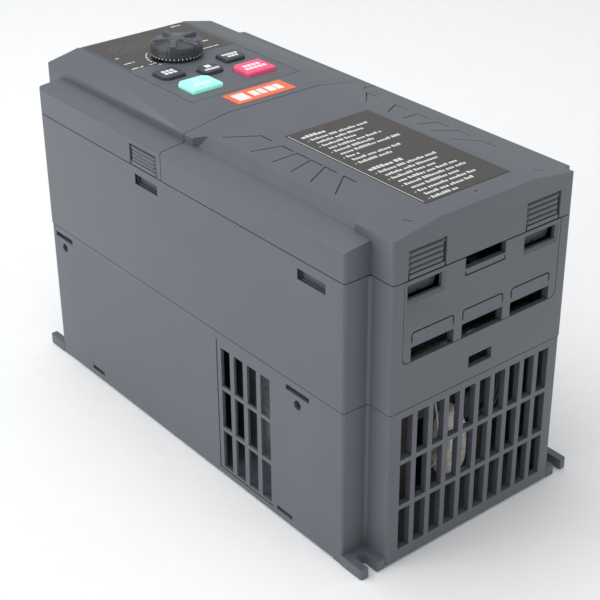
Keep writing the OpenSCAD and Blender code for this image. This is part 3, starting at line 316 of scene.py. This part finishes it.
def make_materials():
    """One material for every slot that the record names, and the printing inks."""
    base = {m["slot"]: tuple(m["base_color"]) for m in RECORD["materials"]}
    made = {
        "case_plastic": moulded("case_plastic", base["case_plastic"], 0.44, 0.0004, 0.000014, 0.05),
        "label_black": moulded("label_black", base["label_black"], 0.42, 0.0003, 0.000008, 0.06),
        "badge_orange": painted("badge_orange", base["badge_orange"], 0.35),
        "keypad_plastic": moulded("keypad_plastic", base["case_plastic"], 0.48, 0.0003, 0.000014, 0.04),
        "key_dark": moulded("key_dark", base["key_dark"], 0.45, 0.00025, 0.00001, 0.04),
        # key_green and key_red carry a painted glow: emission 0.3 and 0.2 in their own colour
        "key_green": silicone_with_painted_glow("key_green", base["key_green"], 0.3),
        "key_red": silicone_with_painted_glow("key_red", base["key_red"], 0.2),
        "window_tint": tinted_window("window_tint", shade(base["window_tint"], 0.65)),
        "digits_black": tinted_window("digits_black", base["digits_black"]),
        "knob_plastic": moulded(
            "knob_plastic", shade(base["knob_plastic"], 0.6), 0.26, 0.0003, 0.000006, 0.05, 0.6,
        ),
        "board_green": board_lacquer("board_green", base["board_green"]),
        "alloy": metal("alloy", base["alloy"], 0.34, (1, 0.05, 1), 0.0008, 0.00003),
        "steel": metal("steel", base["steel"], 0.28, (1, 1, 1), 0.0008),
        "dark_plastic": moulded("dark_plastic", base["dark_plastic"], 0.45, 0.0003, 0.00001, 0.08),
        "white_plastic": moulded("white_plastic", base["white_plastic"], 0.4, 0.0003, 0.000008, 0.03),
        # painted shade: the core's colour is taken down to 0.4 so that it reads as dark as the dim inside of
        # the case
        "core_iron": laminations("core_iron", shade(base["core_iron"], 0.4)),
        "foil_wrap": crumpled_foil("foil_wrap", base["foil_wrap"]),
        "brass": metal("brass", base["brass"], 0.3, (1, 1, 1), 0.0006),
        "sleeve_blue": painted("sleeve_blue", base["sleeve_blue"], 0.3, 0.08),
        "disc_blue": painted("disc_blue", base["disc_blue"], 0.35, 0.1),
        "tape_yellow": painted("tape_yellow", base["tape_yellow"], 0.3, 0.12),
        "terminal_green": moulded("terminal_green", base["terminal_green"], 0.42, 0.0003, 0.00001),
        "ground_green": metal("ground_green", base["ground_green"], 0.4, (1, 1, 1), 0.0006),
        "ribbon_grey": moulded("ribbon_grey", base["ribbon_grey"], 0.5, 0.0004, 0.00001, 0.06),
        "ink_white": painted("ink_white", (0.86, 0.87, 0.86), 0.5, 0.03),
        "ink_label": painted("ink_label", (0.7, 0.72, 0.73), 0.5, 0.03),
        "ink_pale_green": painted("ink_pale_green", (0.8, 0.95, 0.9), 0.5, 0.03),
        "ink_ghost": painted("ink_ghost", (0.085, 0.07, 0.062), 0.3, 0.06),
        "wire_black": painted("wire_black", (0.02, 0.02, 0.022), 0.4, 0.1),
        "wire_white": painted("wire_white", (0.75, 0.74, 0.7), 0.42, 0.05),
        "card_brown": moulded("card_brown", (0.32, 0.24, 0.17), 0.7, 0.0006, 0.00003, 0.12),
    }
    return made


# ---------- Mesh helpers ----------

def mesh_object(name, verts, faces, smooth=False):
    """Linked object from plain vertex and face lists."""
    mesh = bpy.data.meshes.new(name)
    mesh.from_pydata([tuple(v) for v in verts], [], faces)
    mesh.validate()
    mesh.polygons.foreach_set("use_smooth", [smooth] * len(mesh.polygons))
    thing = bpy.data.objects.new(name, mesh)
    bpy.context.scene.collection.objects.link(thing)
    return thing


def grid_mesh(width, depth, place, cells):
    """Flat grid of cells by cells, each point put where place(x, y) says."""
    points = [
        place(width * (i / cells - 0.5), depth * (j / cells - 0.5))
        for j in range(cells + 1) for i in range(cells + 1)
    ]
    row = cells + 1
    faces = [
        (j * row + i, j * row + i + 1, (j + 1) * row + i + 1, (j + 1) * row + i)
        for j in range(cells) for i in range(cells)
    ]
    return points, faces


def stacked_rings(rings, close_low=True, close_high=True):
    """Vertices and faces of a skin over rings that all have the same number of points."""
    count = len(rings[0])
    verts = [p for ring in rings for p in ring]
    faces = []
    for k in range(len(rings) - 1):
        for i in range(count):
            j = (i + 1) % count
            faces.append((k * count + i, k * count + j, (k + 1) * count + j, (k + 1) * count + i))
    if close_low:
        faces.append(tuple(reversed(range(count))))
    if close_high:
        faces.append(tuple(range((len(rings) - 1) * count, len(rings) * count)))
    return verts, faces


def rounded(points, radius, steps=5):
    """Outline of the convex polygon through points, anticlockwise, with round corners."""
    out = []
    for i, p in enumerate(points):
        p = Vector(p)
        to_last = (Vector(points[i - 1]) - p).normalized()
        to_next = (Vector(points[(i + 1) % len(points)]) - p).normalized()
        half = to_last.angle(to_next) / 2
        centre = p + (to_last + to_next).normalized() * radius / math.sin(half)
        start = p + to_last * radius / math.tan(half) - centre
        sweep = math.pi - 2 * half
        for k in range(steps + 1):
            turn = Matrix.Rotation(sweep * k / steps, 2)
            out.append(centre + turn @ start)
    return out


def slab(low, high, edge=0.0):
    """Box as a bmesh-ready pair of lists; edge takes its top edges in a little."""
    x0, y0, z0 = low
    x1, y1, z1 = high
    foot = [(x0, y0, z0), (x1, y0, z0), (x1, y1, z0), (x0, y1, z0)]
    mid = [(x0, y0, z1 - edge), (x1, y0, z1 - edge), (x1, y1, z1 - edge), (x0, y1, z1 - edge)]
    top = [
        (x0 + edge, y0 + edge, z1), (x1 - edge, y0 + edge, z1),
        (x1 - edge, y1 - edge, z1), (x0 + edge, y1 - edge, z1),
    ]
    return stacked_rings([foot, mid, top] if edge else [foot, top])


def joined(parts):
    """One pair of lists out of several."""
    verts, faces = [], []
    for part_verts, part_faces in parts:
        start = len(verts)
        verts.extend(part_verts)
        faces.extend(tuple(start + i for i in face) for face in part_faces)
    return verts, faces


def add_piece(name, lists, body, material, smooth=False, stands_for=()):
    """Piece made from plain lists that rides on a body."""
    piece = mesh_object(name, *lists, smooth=smooth)
    piece.data.materials.append(material)
    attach(piece, body)
    if stands_for:
        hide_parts(*stands_for)
    return piece


def soften(piece, width, segments=2, angle=40):
    """Bevel on the sharp edges, with shading that follows it."""
    bevel = piece.modifiers.new("soft_edges", "BEVEL")
    bevel.width = width
    bevel.segments = segments
    bevel.limit_method = "ANGLE"
    bevel.angle_limit = math.radians(angle)
    bevel.harden_normals = True
    return bevel


# ---------- CAD nodes ----------

def edge_shading_tree():
    """Geometry nodes that join the CAD faces, then shade smooth except over sharp edges."""
    tree = bpy.data.node_groups.new("edge_shading", "GeometryNodeTree")
    tree.interface.new_socket("Geometry", in_out="INPUT", socket_type="NodeSocketGeometry")
    tree.interface.new_socket("Geometry", in_out="OUTPUT", socket_type="NodeSocketGeometry")
    entry = tree.nodes.new("NodeGroupInput")
    exit_node = tree.nodes.new("NodeGroupOutput")
    merge = tree.nodes.new("GeometryNodeMergeByDistance")
    merge.inputs["Distance"].default_value = 0.000002
    smooth = tree.nodes.new("GeometryNodeSetShadeSmooth")
    smooth.domain = "FACE"
    sharp = tree.nodes.new("GeometryNodeSetShadeSmooth")
    sharp.domain = "EDGE"
    sharp.inputs["Shade Smooth"].default_value = False
    angle = tree.nodes.new("GeometryNodeInputMeshEdgeAngle")
    compare = tree.nodes.new("FunctionNodeCompare")
    compare.operation = "GREATER_THAN"
    compare.inputs["B"].default_value = math.radians(28)
    tree.links.new(entry.outputs[0], merge.inputs["Geometry"])
    tree.links.new(merge.outputs["Geometry"], smooth.inputs["Geometry"])
    tree.links.new(smooth.outputs["Geometry"], sharp.inputs["Geometry"])
    tree.links.new(angle.outputs["Unsigned Angle"], compare.inputs["A"])
    tree.links.new(compare.outputs["Result"], sharp.inputs["Selection"])
    tree.links.new(sharp.outputs["Geometry"], exit_node.inputs[0])
    return tree


SOFT_EDGE = {
    "lower_housing": 0.35, "middle_housing": 0.35, "upper_cover": 0.55, "terminal_cover": 0.55,
    "cable_entry_plate": 0.3, "cover_latch_left": 0.25, "cover_latch_right": 0.25,
    "front_latch_left": 0.25, "front_latch_right": 0.25, "keypad_case": 0.25, "badge_plate": 0.2,
}


def dress_cad_nodes(made):
    """Material and edge shading for every CAD node, and soft edges on the outer case."""
    slots = {row["node"]: row["material_slot"] for row in RECORD["subparts"]}
    tree = edge_shading_tree()
    for name, node in NODES.items():
        node.data.materials.clear()
        node.data.materials.append(made[slots[name]])
        shading = node.modifiers.new("edge_shading", "NODES")
        shading.node_group = tree
        if name in SOFT_EDGE:
            flatten = node.modifiers.new("join_flats", "DECIMATE")
            flatten.decimate_type = "DISSOLVE"
            flatten.angle_limit = math.radians(0.5)
            soften(node, SOFT_EDGE[name] * MM)


# ---------- Knob ----------

KNOB_ARMS = 5
KNOB_FIRST_ARM = math.radians(11)
KNOB_HUB = 4.5         # mm from the middle to where the hollows start
KNOB_WALL = 0.16       # mm across the steep side of a hollow
KNOB_HOLLOW_STEPS = 32
KNOB_FLUTES = 40
KNOB_DOTS = 40


def arm_half_width(r):
    """Half width in mm of a knob arm, r mm from the middle."""
    return 1.0 + 0.075 * (r - KNOB_HUB)


def knob_turns(r):
    """Angles round the knob, each with the share of a hollow's depth that it has."""
    sector = TAU / KNOB_ARMS
    width = arm_half_width(max(r, KNOB_HUB)) / max(r, KNOB_HUB)
    wall = KNOB_WALL / max(r, KNOB_HUB)
    arm_side = [width * share for share in (-0.9, -0.55, 0, 0.55, 0.9)]
    turns = []
    for k in range(KNOB_ARMS):
        axis = KNOB_FIRST_ARM + sector * k
        turns.append((axis - width, 0.1))
        turns += [(axis + off, 0.0) for off in arm_side]
        turns.append((axis + width, 0.1))
        start = axis + width + wall
        sweep = sector - 2 * (width + wall)
        for i in range(KNOB_HOLLOW_STEPS + 1):
            turns.append((start + sweep * i / KNOB_HOLLOW_STEPS, 1.0))
    return turns


def hollow_depth(r):
    """Depth in mm of the floor between two arms, r mm from the middle."""
    return 0.9 + 0.11 * (r - KNOB_HUB)


def build_knob(made):
    """Star knob with five flat arms, sloping hollows and a finely fluted skirt."""
    low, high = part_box("navigation_knob")
    centre = (low + high) / 2
    radius = (high.x - low.x) / 2 / MM
    top = high.z / MM
    foot = low.z / MM
    rings = []

    def ring(r, z, flute=0.0, star=0.0):
        points = []
        for turn, hollow in knob_turns(min(r, radius - 1.2)):
            here = r - flute * (0.5 + 0.5 * math.cos(KNOB_FLUTES * turn))
            sunk = star * hollow * hollow_depth(here)
            height = min(z, top - sunk) if star else z
            points.append((
                centre.x + here * MM * math.cos(turn),
                centre.y + here * MM * math.sin(turn),
                height * MM,
            ))
        rings.append(points)

    rim = radius - 0.12
    ring(radius - 1.2, foot)
    ring(radius - 0.4, foot)
    ring(rim, foot + 0.3)
    ring(rim, foot + 1.9)
    ring(rim, foot + 2.2, 0.06)
    for k in range(5):
        ring(radius - 0.16 - 0.06 * k, foot + 2.6 + (top - foot - 5.6) * k / 4, 0.14)
    ring(radius - 0.5, top - 2.75, 0.08)
    for inset, drop in ((0.55, 1.2), (0.7, 0.8), (1.15, 0.35), (1.7, 0.08), (2.2, 0)):
        ring(radius - inset, top - drop, 0, 1)
    flat = radius - 2.2
    for k in range(1, 9):
        ring(flat - (flat - KNOB_HUB - 0.25) * k / 8, top, 0, 1)
    ring(KNOB_HUB, top, 0, 0.15)
    for k in range(1, 5):
        ring(KNOB_HUB * (1 - k / 4.4), top)
    lists = stacked_rings(rings)
    add_piece("knob_star", lists, "knob_body", made["knob_plastic"], True,
              ["navigation_knob"])
    build_knob_dots(made, centre, radius, foot)


def build_knob_dots(made, centre, radius, foot):
    """Ring of light, slightly tall dots on the foot of the skirt."""
    dots = []
    for i in range(KNOB_DOTS):
        turn = Matrix.Rotation(TAU * (i + 0.5) / KNOB_DOTS, 3, "Z")
        rings = []
        for k in range(4):
            size = math.cos(math.pi / 2 * k / 3.4)
            out = radius - 0.06 + 0.05 * math.sin(math.pi / 2 * k / 3.4)
            rings.append([
                turn @ Vector((
                    out, 0.33 * size * math.cos(TAU * j / 10), 0.48 * size * math.sin(TAU * j / 10),
                )) * MM + Vector((centre.x, centre.y, (foot + 1.0) * MM))
                for j in range(10)
            ])
        dots.append(stacked_rings(rings))
    add_piece("knob_dots", joined(dots), "knob_body", made["ink_white"], True)


# ---------- Keys ----------

KEY_FLANGE = 1.0      # mm that the CAD key's hidden flange stands out on each side
KEY_CUT = 2.6         # mm cut off a key's corner
KEY_CORNERS = {
    "program_key": [(-1, -1)],
    "shift_key": [(-1, -1), (1, -1), (1, 1), (-1, 1)],
    "jog_key": [(1, -1)],
    "run_key": [(1, 1), (-1, 1)],
    "stop_key": [(-1, 1)],
}
KEY_SLOT = {"run_key": "key_green", "stop_key": "key_red"}


def key_outline(half_x, half_y, cut_corners, inset):
    """Corner points of a key, anticlockwise, drawn in by inset."""
    x, y = half_x - inset, half_y - inset
    points = []
    for sx, sy in ((-1, -1), (1, -1), (1, 1), (-1, 1)):
        if (sx, sy) not in cut_corners:
            points.append((sx * x, sy * y))
            continue
        beside = (sx * (x - KEY_CUT), sy * y)
        along = (sx * x, sy * (y - KEY_CUT))
        points.extend([along, beside] if sx * sy > 0 else [beside, along])
    return points


def build_key(name, made):
    """Key cap with soft shoulders and a slightly dished top."""
    low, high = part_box(name)
    centre = (low + high) / 2
    half_x = (high.x - low.x) / 2 / MM - KEY_FLANGE
    half_y = (high.y - low.y) / 2 / MM - KEY_FLANGE
    fillet = 0.8
    top = high.z / MM
    levels = [(0.0, low.z / MM), (0.0, top - fillet)]
    levels += [
        (fillet * (1 - math.cos(math.pi / 2 * k / 5)), top - fillet * (1 - math.sin(math.pi / 2 * k / 5)))
        for k in range(1, 6)
    ]
    levels += [(fillet + 1.2, top - 0.03), (fillet + 2.6, top - 0.05), (fillet + 3.6, top - 0.06)]
    rings = []
    for inset, z in levels:
        corner = max(1.1 - inset * 0.2, 0.35)
        outline = rounded(key_outline(half_x, half_y, KEY_CORNERS[name], inset), corner)
        rings.append([(centre.x + p.x * MM, centre.y + p.y * MM, z * MM) for p in outline])
    slot = KEY_SLOT.get(name, "key_dark")
    add_piece(name + "_cap", stacked_rings(rings), name + "_body", made[slot], True, [name])
    return centre, top


def block(x, y, z, wide, high, thick=0.03):
    """Printed block wide by high mm with its near left corner at x, y, on a surface at z."""
    return slab((x * MM, y * MM, (z - 0.02) * MM), ((x + wide) * MM, (y + high) * MM, (z + thick) * MM))


LETTER_HEIGHTS = (0.7, 0.74, 1.0)     # shares of the line's height
LETTER_GAP = 0.2
WORD_GAP = 0.42


def print_line(x, y, z, length, high, seed, weight=0.62):
    """Letter-sized blocks in words that fill length mm and stand in for a line of print."""
    dice = random.Random(seed)
    end = x + length
    parts = []
    while x < end - high * 0.4:
        for _ in range(dice.randint(3, 8)):
            wide = high * weight * dice.uniform(0.8, 1.15)
            if x + wide > end:
                return parts
            parts.append(block(x, y, z, wide, high * dice.choice(LETTER_HEIGHTS)))
            x += wide + high * LETTER_GAP
        x += high * WORD_GAP
    return parts


def legend_word(x, y, z, length, high, count):
    """One word of count letter-sized blocks whose middle is at x, y."""
    gap = 0.22
    pitch = length / (count - gap)
    return [
        block(x - length / 2 + pitch * k, y - high / 2, z, pitch * (1 - gap), high)
        for k in range(count)
    ]


def build_keys(made):
    """All five keys with legends of plain blocks."""
    for name in KEY_CORNERS:
        centre, top = build_key(name, made)
        x, y, z = centre.x / MM, centre.y / MM, top - 0.03
        if name == "program_key":
            parts = legend_word(x, y + 1.6, z, 7.4, 2.5, 3) + legend_word(x, y - 1.6, z, 7.4, 2.5, 3)
        elif name == "shift_key":
            parts = [block(x - 1.75, y + 0.2, z, 3.5, 3.5)] + legend_word(x, y - 2.3, z, 8.8, 2.2, 5)
        elif name == "jog_key":
            parts = legend_word(x, y + 1.6, z, 9.6, 2.4, 5) + legend_word(x, y - 1.6, z, 6.4, 2.4, 3)
        elif name == "run_key":
            parts = [ring_mark(centre + Vector((0, 3.4 * MM, 0)), 2.1, 1.3, top)]
            parts += legend_word(x, y - 2.2, z, 10.0, 3.4, 3)
        else:
            parts = legend_word(x, y + 2.0, z, 10.6, 2.8, 4) + legend_word(x, y - 2.0, z, 13.2, 2.8, 5)
        ink = made["ink_pale_green"] if name == "run_key" else made["ink_white"]
        add_piece(name + "_legend", joined(parts), name + "_body", ink)


def ring_mark(centre, outer, inner, z, start=0.0, sweep=TAU, steps=40):
    """Thin flat ring, or part of one, at height z mm."""
    closed = sweep > TAU - 0.01
    count = steps if closed else steps + 1
    verts = []
    for k in range(count):
        turn = start + sweep * k / steps
        for r in (inner, outer):
            for height in (z - 0.06, z):
                verts.append((
                    centre.x + r * MM * math.cos(turn), centre.y + r * MM * math.sin(turn), height * MM,
                ))
    faces = []
    for k in range(count if closed else steps):
        a, b = k * 4, (k + 1) % count * 4
        faces += [
            (a + 1, a + 3, b + 3, b + 1), (a, b, b + 2, a + 2),
            (a, a + 1, b + 1, b), (a + 2, b + 2, b + 3, a + 3),
        ]
    if not closed:
        last = steps * 4
        faces += [(0, 2, 3, 1), (last, last + 1, last + 3, last + 2)]
    return verts, faces


# ---------- Display ----------

def build_display(made):
    """Ghost digits, small legends and the dashed arc beside the knob."""
    low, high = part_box("display_window")
    top = high.z / MM
    knob_low, knob_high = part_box("navigation_knob")
    knob = (knob_low + knob_high) / 2
    digits = []
    for k in range(4):
        digits += digit_bars(-25 + k * 7.0, 116, top)
    add_piece("display_ghost_digits", joined(digits), "keypad_body", made["ink_ghost"])
    marks = []
    # left column: a tick, two words and a short dash beside the arc
    marks += [block(-29.8, 110.6, top, 2.3, 0.8)]
    marks += print_line(-30.6, 100.3, top, 7.2, 1.5, 1)
    marks += print_line(-31.6, 91.4, top, 7.9, 1.5, 3)
    marks += [block(-20.4, 91.6, top, 2.8, 0.7)]
    # right column and the row at the far end
    marks += print_line(23.5, 135.2, top, 7.0, 1.4, 5)
    marks += print_line(21.3, 103.8, top, 6.6, 1.5, 6)
    marks += print_line(16.7, 93.8, top, 10.3, 1.5, 7)
    dash, pitch = math.radians(7), math.radians(11)
    for k in range(7):
        marks.append(ring_mark(knob, 17.2, 16.5, top + 0.03, math.radians(132) + pitch * k, dash, 4))
    add_piece("display_legends", joined(marks), "keypad_body", made["ink_white"])
    build_window_border(made, low, high)


def digit_bars(x, y, top):
    """Seven slanted bars of one digit with its near left corner at x, y."""
    wide, tall, line, slant = 5.2, 13.0, 0.9, 0.1
    parts = []

    def bar(x0, y0, x1, y1):
        z0, z1 = (top - 0.02) * MM, (top + 0.015) * MM
        ring = [(x0, y0), (x1, y0), (x1, y1), (x0, y1)]
        ring = [((x + px + py * slant) * MM, (y + py) * MM) for px, py in ring]
        parts.append(stacked_rings([[(*p, z0) for p in ring], [(*p, z1) for p in ring]]))

    for row in (0, (tall - line) / 2, tall - line):
        bar(line * 0.9, row, wide - line * 0.9, row + line)
    for column in (0, wide - line):
        bar(column, line * 0.9, column + line, tall / 2 - line * 0.6)
        bar(column, tall / 2 + line * 0.6, column + line, tall - line * 0.9)
    return parts


def frame_strip(low, high, z, width, rise):
    """Thin rectangular frame along the edge of a box."""
    outer = [(low.x, low.y), (high.x, low.y), (high.x, high.y), (low.x, high.y)]
    inner = [
        (low.x + width, low.y + width), (high.x - width, low.y + width),
        (high.x - width, high.y - width), (low.x + width, high.y - width),
    ]
    rings = [
        [(*p, z - rise) for p in outer], [(*p, z + rise) for p in outer],
        [(*p, z + rise) for p in inner], [(*p, z - rise) for p in inner],
    ]
    verts, faces = stacked_rings(rings, False, False)
    faces += [(12 + i, 12 + (i + 1) % 4, (i + 1) % 4, i) for i in range(4)]
    return verts, faces


def build_window_border(made, low, high):
    """Moulded lip round the display window."""
    lists = frame_strip(low - Vector((0.15, 0.15, 0)) * MM, high + Vector((0.15, 0.15, 0)) * MM,
                        high.z, 0.35 * MM, 0.03 * MM)
    add_piece("display_lip", lists, "keypad_body", made["keypad_plastic"])


# ---------- Label and badge ----------

def build_label(made):
    """Film label with a light edge and lines of plain blocks in place of its words."""
    low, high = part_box("front_label")
    top = high.z / MM
    left = low.x / MM + 4.2
    far = high.y / MM
    pitch = 4.25
    line_high = 2.1
    parts = [block(low.x / MM + 0.3, low.y / MM + 1.5, top, 0.35, (high.y - low.y) / MM - 3)]
    for start, heading, lengths in (
        (far - 8.4, 17, (36, 29, 21, 33, 25, 38, 8, 31, 20)),
        (far - 8.4 - pitch * 11.2, 21, (36, 32, 27, 36, 38, 30, 36, 30, 16)),
    ):
        parts += print_line(left, start, top, heading, 2.6, 11, 0.75)
        for k, length in enumerate(lengths):
            y = start - pitch * (k + 1)
            parts += print_line(left + 2.2, y, top, length, line_high, 40 + k)
            if k % 2 == 0:
                parts.append(block(left, y + 0.3, top, 0.7, 0.7))
    add_piece("label_lines", joined(parts), "terminal_cover_body", made["ink_label"])


def build_badge(made):
    """Plain badge: a white block and a row of white blocks in place of any mark."""
    low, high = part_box("badge_plate")
    top = high.z / MM
    mid = (low.y + high.y) / 2 / MM
    left = low.x / MM
    parts = [block(left + 3.2, mid - 4.4, top, 7.4, 8.8)]
    for k, wide in enumerate((4.2, 3.6, 4.4, 3.8)):
        parts.append(block(left + 13.2 + 5.1 * k, mid - 3.4, top, wide, 6.8))
    add_piece("badge_print", joined(parts), "case", made["ink_white"])


# ---------- Insides ----------

def build_choke_wrap(made):
    """Choke winding wrapped in creased foil and tape, gathered to a point at the top."""
    low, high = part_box("choke_winding")
    around, along = 96, 44
    centre = (low + high) / 2
    side_shift = 4.6 * MM
    lift = 1.6 * MM
    half_x = 9.2 * MM
    half_z = (high.z - low.z) / 2 + 2 * MM
    rings = []
    for j in range(along + 1):
        share = j / along
        y = low.y + (high.y - low.y) * share
        bulge = 1 - 0.35 * (2 * abs(share - 0.5)) ** 6
        ring = []
        for i in range(around):
            turn = TAU * i / around
            c, s = math.cos(turn), math.sin(turn)
            fold = (abs(c) ** 4 + abs(s) ** 4) ** (-1 / 4)
            seed = Vector((c * 2.2, y * 160, s * 2.2))
            crease = 0.07 * (noise.noise(seed) + 0.6 * abs(noise.noise(seed * 2.7)))
            size = bulge * fold * (0.93 + crease)
            narrow = 1 - 0.45 * max(0.0, s) ** 3
            ring.append((
                centre.x + side_shift + half_x * size * narrow * c, y,
                centre.z + lift + half_z * size * s,
            ))
        rings.append(ring)
    add_piece("choke_wrap", stacked_rings(rings), "case", made["foil_wrap"], True,
              ["choke_winding"])


def add_wire(name, points, radius, body, material):
    """Round wire on a smooth line through points given in mm."""
    curve = bpy.data.curves.new(name, "CURVE")
    curve.dimensions = "3D"
    curve.bevel_depth = radius * MM
    curve.bevel_resolution = 3
    curve.resolution_u = 10
    curve.use_fill_caps = True
    line = curve.splines.new("BEZIER")
    line.bezier_points.add(len(points) - 1)
    for mark, point in zip(line.bezier_points, points):
        mark.co = Vector(point) * MM
        mark.handle_left_type = "AUTO"
        mark.handle_right_type = "AUTO"
    wire = bpy.data.objects.new(name, curve)
    bpy.context.scene.collection.objects.link(wire)
    wire.data.materials.append(material)
    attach(wire, body)
    return wire


def build_inner_wires(made):
    """Leads from the choke up to the power board, with its clips and paper tabs."""
    for k in range(3):
        x = 24 + 3.4 * k
        add_wire(f"choke_lead_{k}", [
            (16 + k, -119, 40 - 4 * k), (x, -124, 52), (x + 1, -125, 70), (x, -121, 84), (x - 1, -114, 91.6),
        ], 1.3, "case", made["wire_black"])
    add_wire("sense_lead", [
        (-13, -119, 24), (-13, -127, 34), (-13.4, -128, 58), (-14, -122, 78), (-15, -114, 91.6),
    ], 0.45, "case", made["wire_white"])
    clamp = slab((10 * MM, -123 * MM, 47 * MM), (20 * MM, -116.2 * MM, 60.5 * MM), 1.2 * MM)
    add_piece("choke_clamp", clamp, "case", made["dark_plastic"])
    tabs = [
        slab((-33 * MM, -119 * MM, 55 * MM), (-30.6 * MM, -116.1 * MM, 61 * MM), 0.4 * MM),
        slab((-31.5 * MM, -118 * MM, 34 * MM), (-29 * MM, -116.1 * MM, 39 * MM), 0.4 * MM),
        slab((35.6 * MM, -120 * MM, 60 * MM), (38.4 * MM, -116 * MM, 64 * MM), 0.4 * MM),
    ]
    add_piece("paper_tabs", joined(tabs), "case", made["card_brown"])


LEG_PITCH = 1.27        # mm between the legs of a chip
SMALL_PARTS = 150


def chip_legs(x, y, top, w, h):
    """Legs along both long sides of a chip w by h mm whose middle is at x, y."""
    legs = []
    for k in range(int(w / LEG_PITCH)):
        leg_x = x + (k * LEG_PITCH - w / 2 + 0.8) * MM
        for side in (-1, 1):
            y_in, y_out = sorted((y + side * h / 2 * MM, y + side * (h / 2 + 1.1) * MM))
            legs.append(slab((leg_x - 0.2 * MM, y_in, top - 0.02 * MM),
                             (leg_x + 0.2 * MM, y_out, top + 0.5 * MM)))
    return legs


def build_board_parts(made):
    """Small parts on the control board: chips with legs, chip capacitors and a few cans."""
    low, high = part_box("control_board")
    top = high.z
    dice = random.Random(5)
    chips, legs, small, cans = [], [], [], []
    for cx, cy, w, h in (
        (-28, 18, 12, 12), (-24, -22, 9, 5), (24, -26, 9, 5), (34, 20, 14, 8),
        (-38, 84, 9, 5), (26, 96, 9, 5), (-8, -40, 9, 5),
    ):
        x, y = cx * MM, cy * MM
        chips.append(slab((x - w / 2 * MM, y - h / 2 * MM, top + 0.3 * MM),
                          (x + w / 2 * MM, y + h / 2 * MM, top + 1.7 * MM), 0.2 * MM))
        legs += chip_legs(x, y, top, w, h)
    for _ in range(SMALL_PARTS):
        x = dice.uniform(low.x + 4 * MM, high.x - 4 * MM)
        y = dice.uniform(low.y + 18 * MM, high.y - 4 * MM)
        if abs(x) < 11 * MM and 48 * MM < y < 70 * MM:
            continue
        w, h = dice.choice(((1.0, 0.5), (0.6, 1.2), (1.6, 0.8)))
        small.append(slab((x - w * MM, y - h * MM, top - 0.02 * MM),
                          (x + w * MM, y + h * MM, top + 0.7 * MM), 0.1 * MM))
    for x, y in ((46, 60), (46, 72), (-48, 44), (-48, -8), (44, -46)):
        rings = []
        for r, z in ((3.1, 0), (3.1, 1.0), (2.9, 1.3), (3.1, 1.6), (3.1, 8.2), (2.8, 8.6), (0.5, 8.6)):
            rings.append([
                ((x + r * math.cos(TAU * j / 28)) * MM, (y + r * math.sin(TAU * j / 28)) * MM, top + z * MM)
                for j in range(28)
            ])
        cans.append(stacked_rings(rings))
    add_piece("board_chips", joined(chips), "case", made["dark_plastic"])
    add_piece("board_chip_legs", joined(legs), "case", made["steel"])
    add_piece("board_small_parts", joined(small), "case", made["card_brown"])
    add_piece("board_cans", joined(cans), "case", made["alloy"], True)


def build_all():
    """Everything, in the order in which the pieces are named."""
    made = make_materials()
    add_camera()
    add_studio()
    dress_cad_nodes(made)
    build_knob(made)
    build_keys(made)
    build_display(made)
    build_label(made)
    build_badge(made)
    build_choke_wrap(made)
    build_inner_wires(made)
    build_board_parts(made)


build_all()
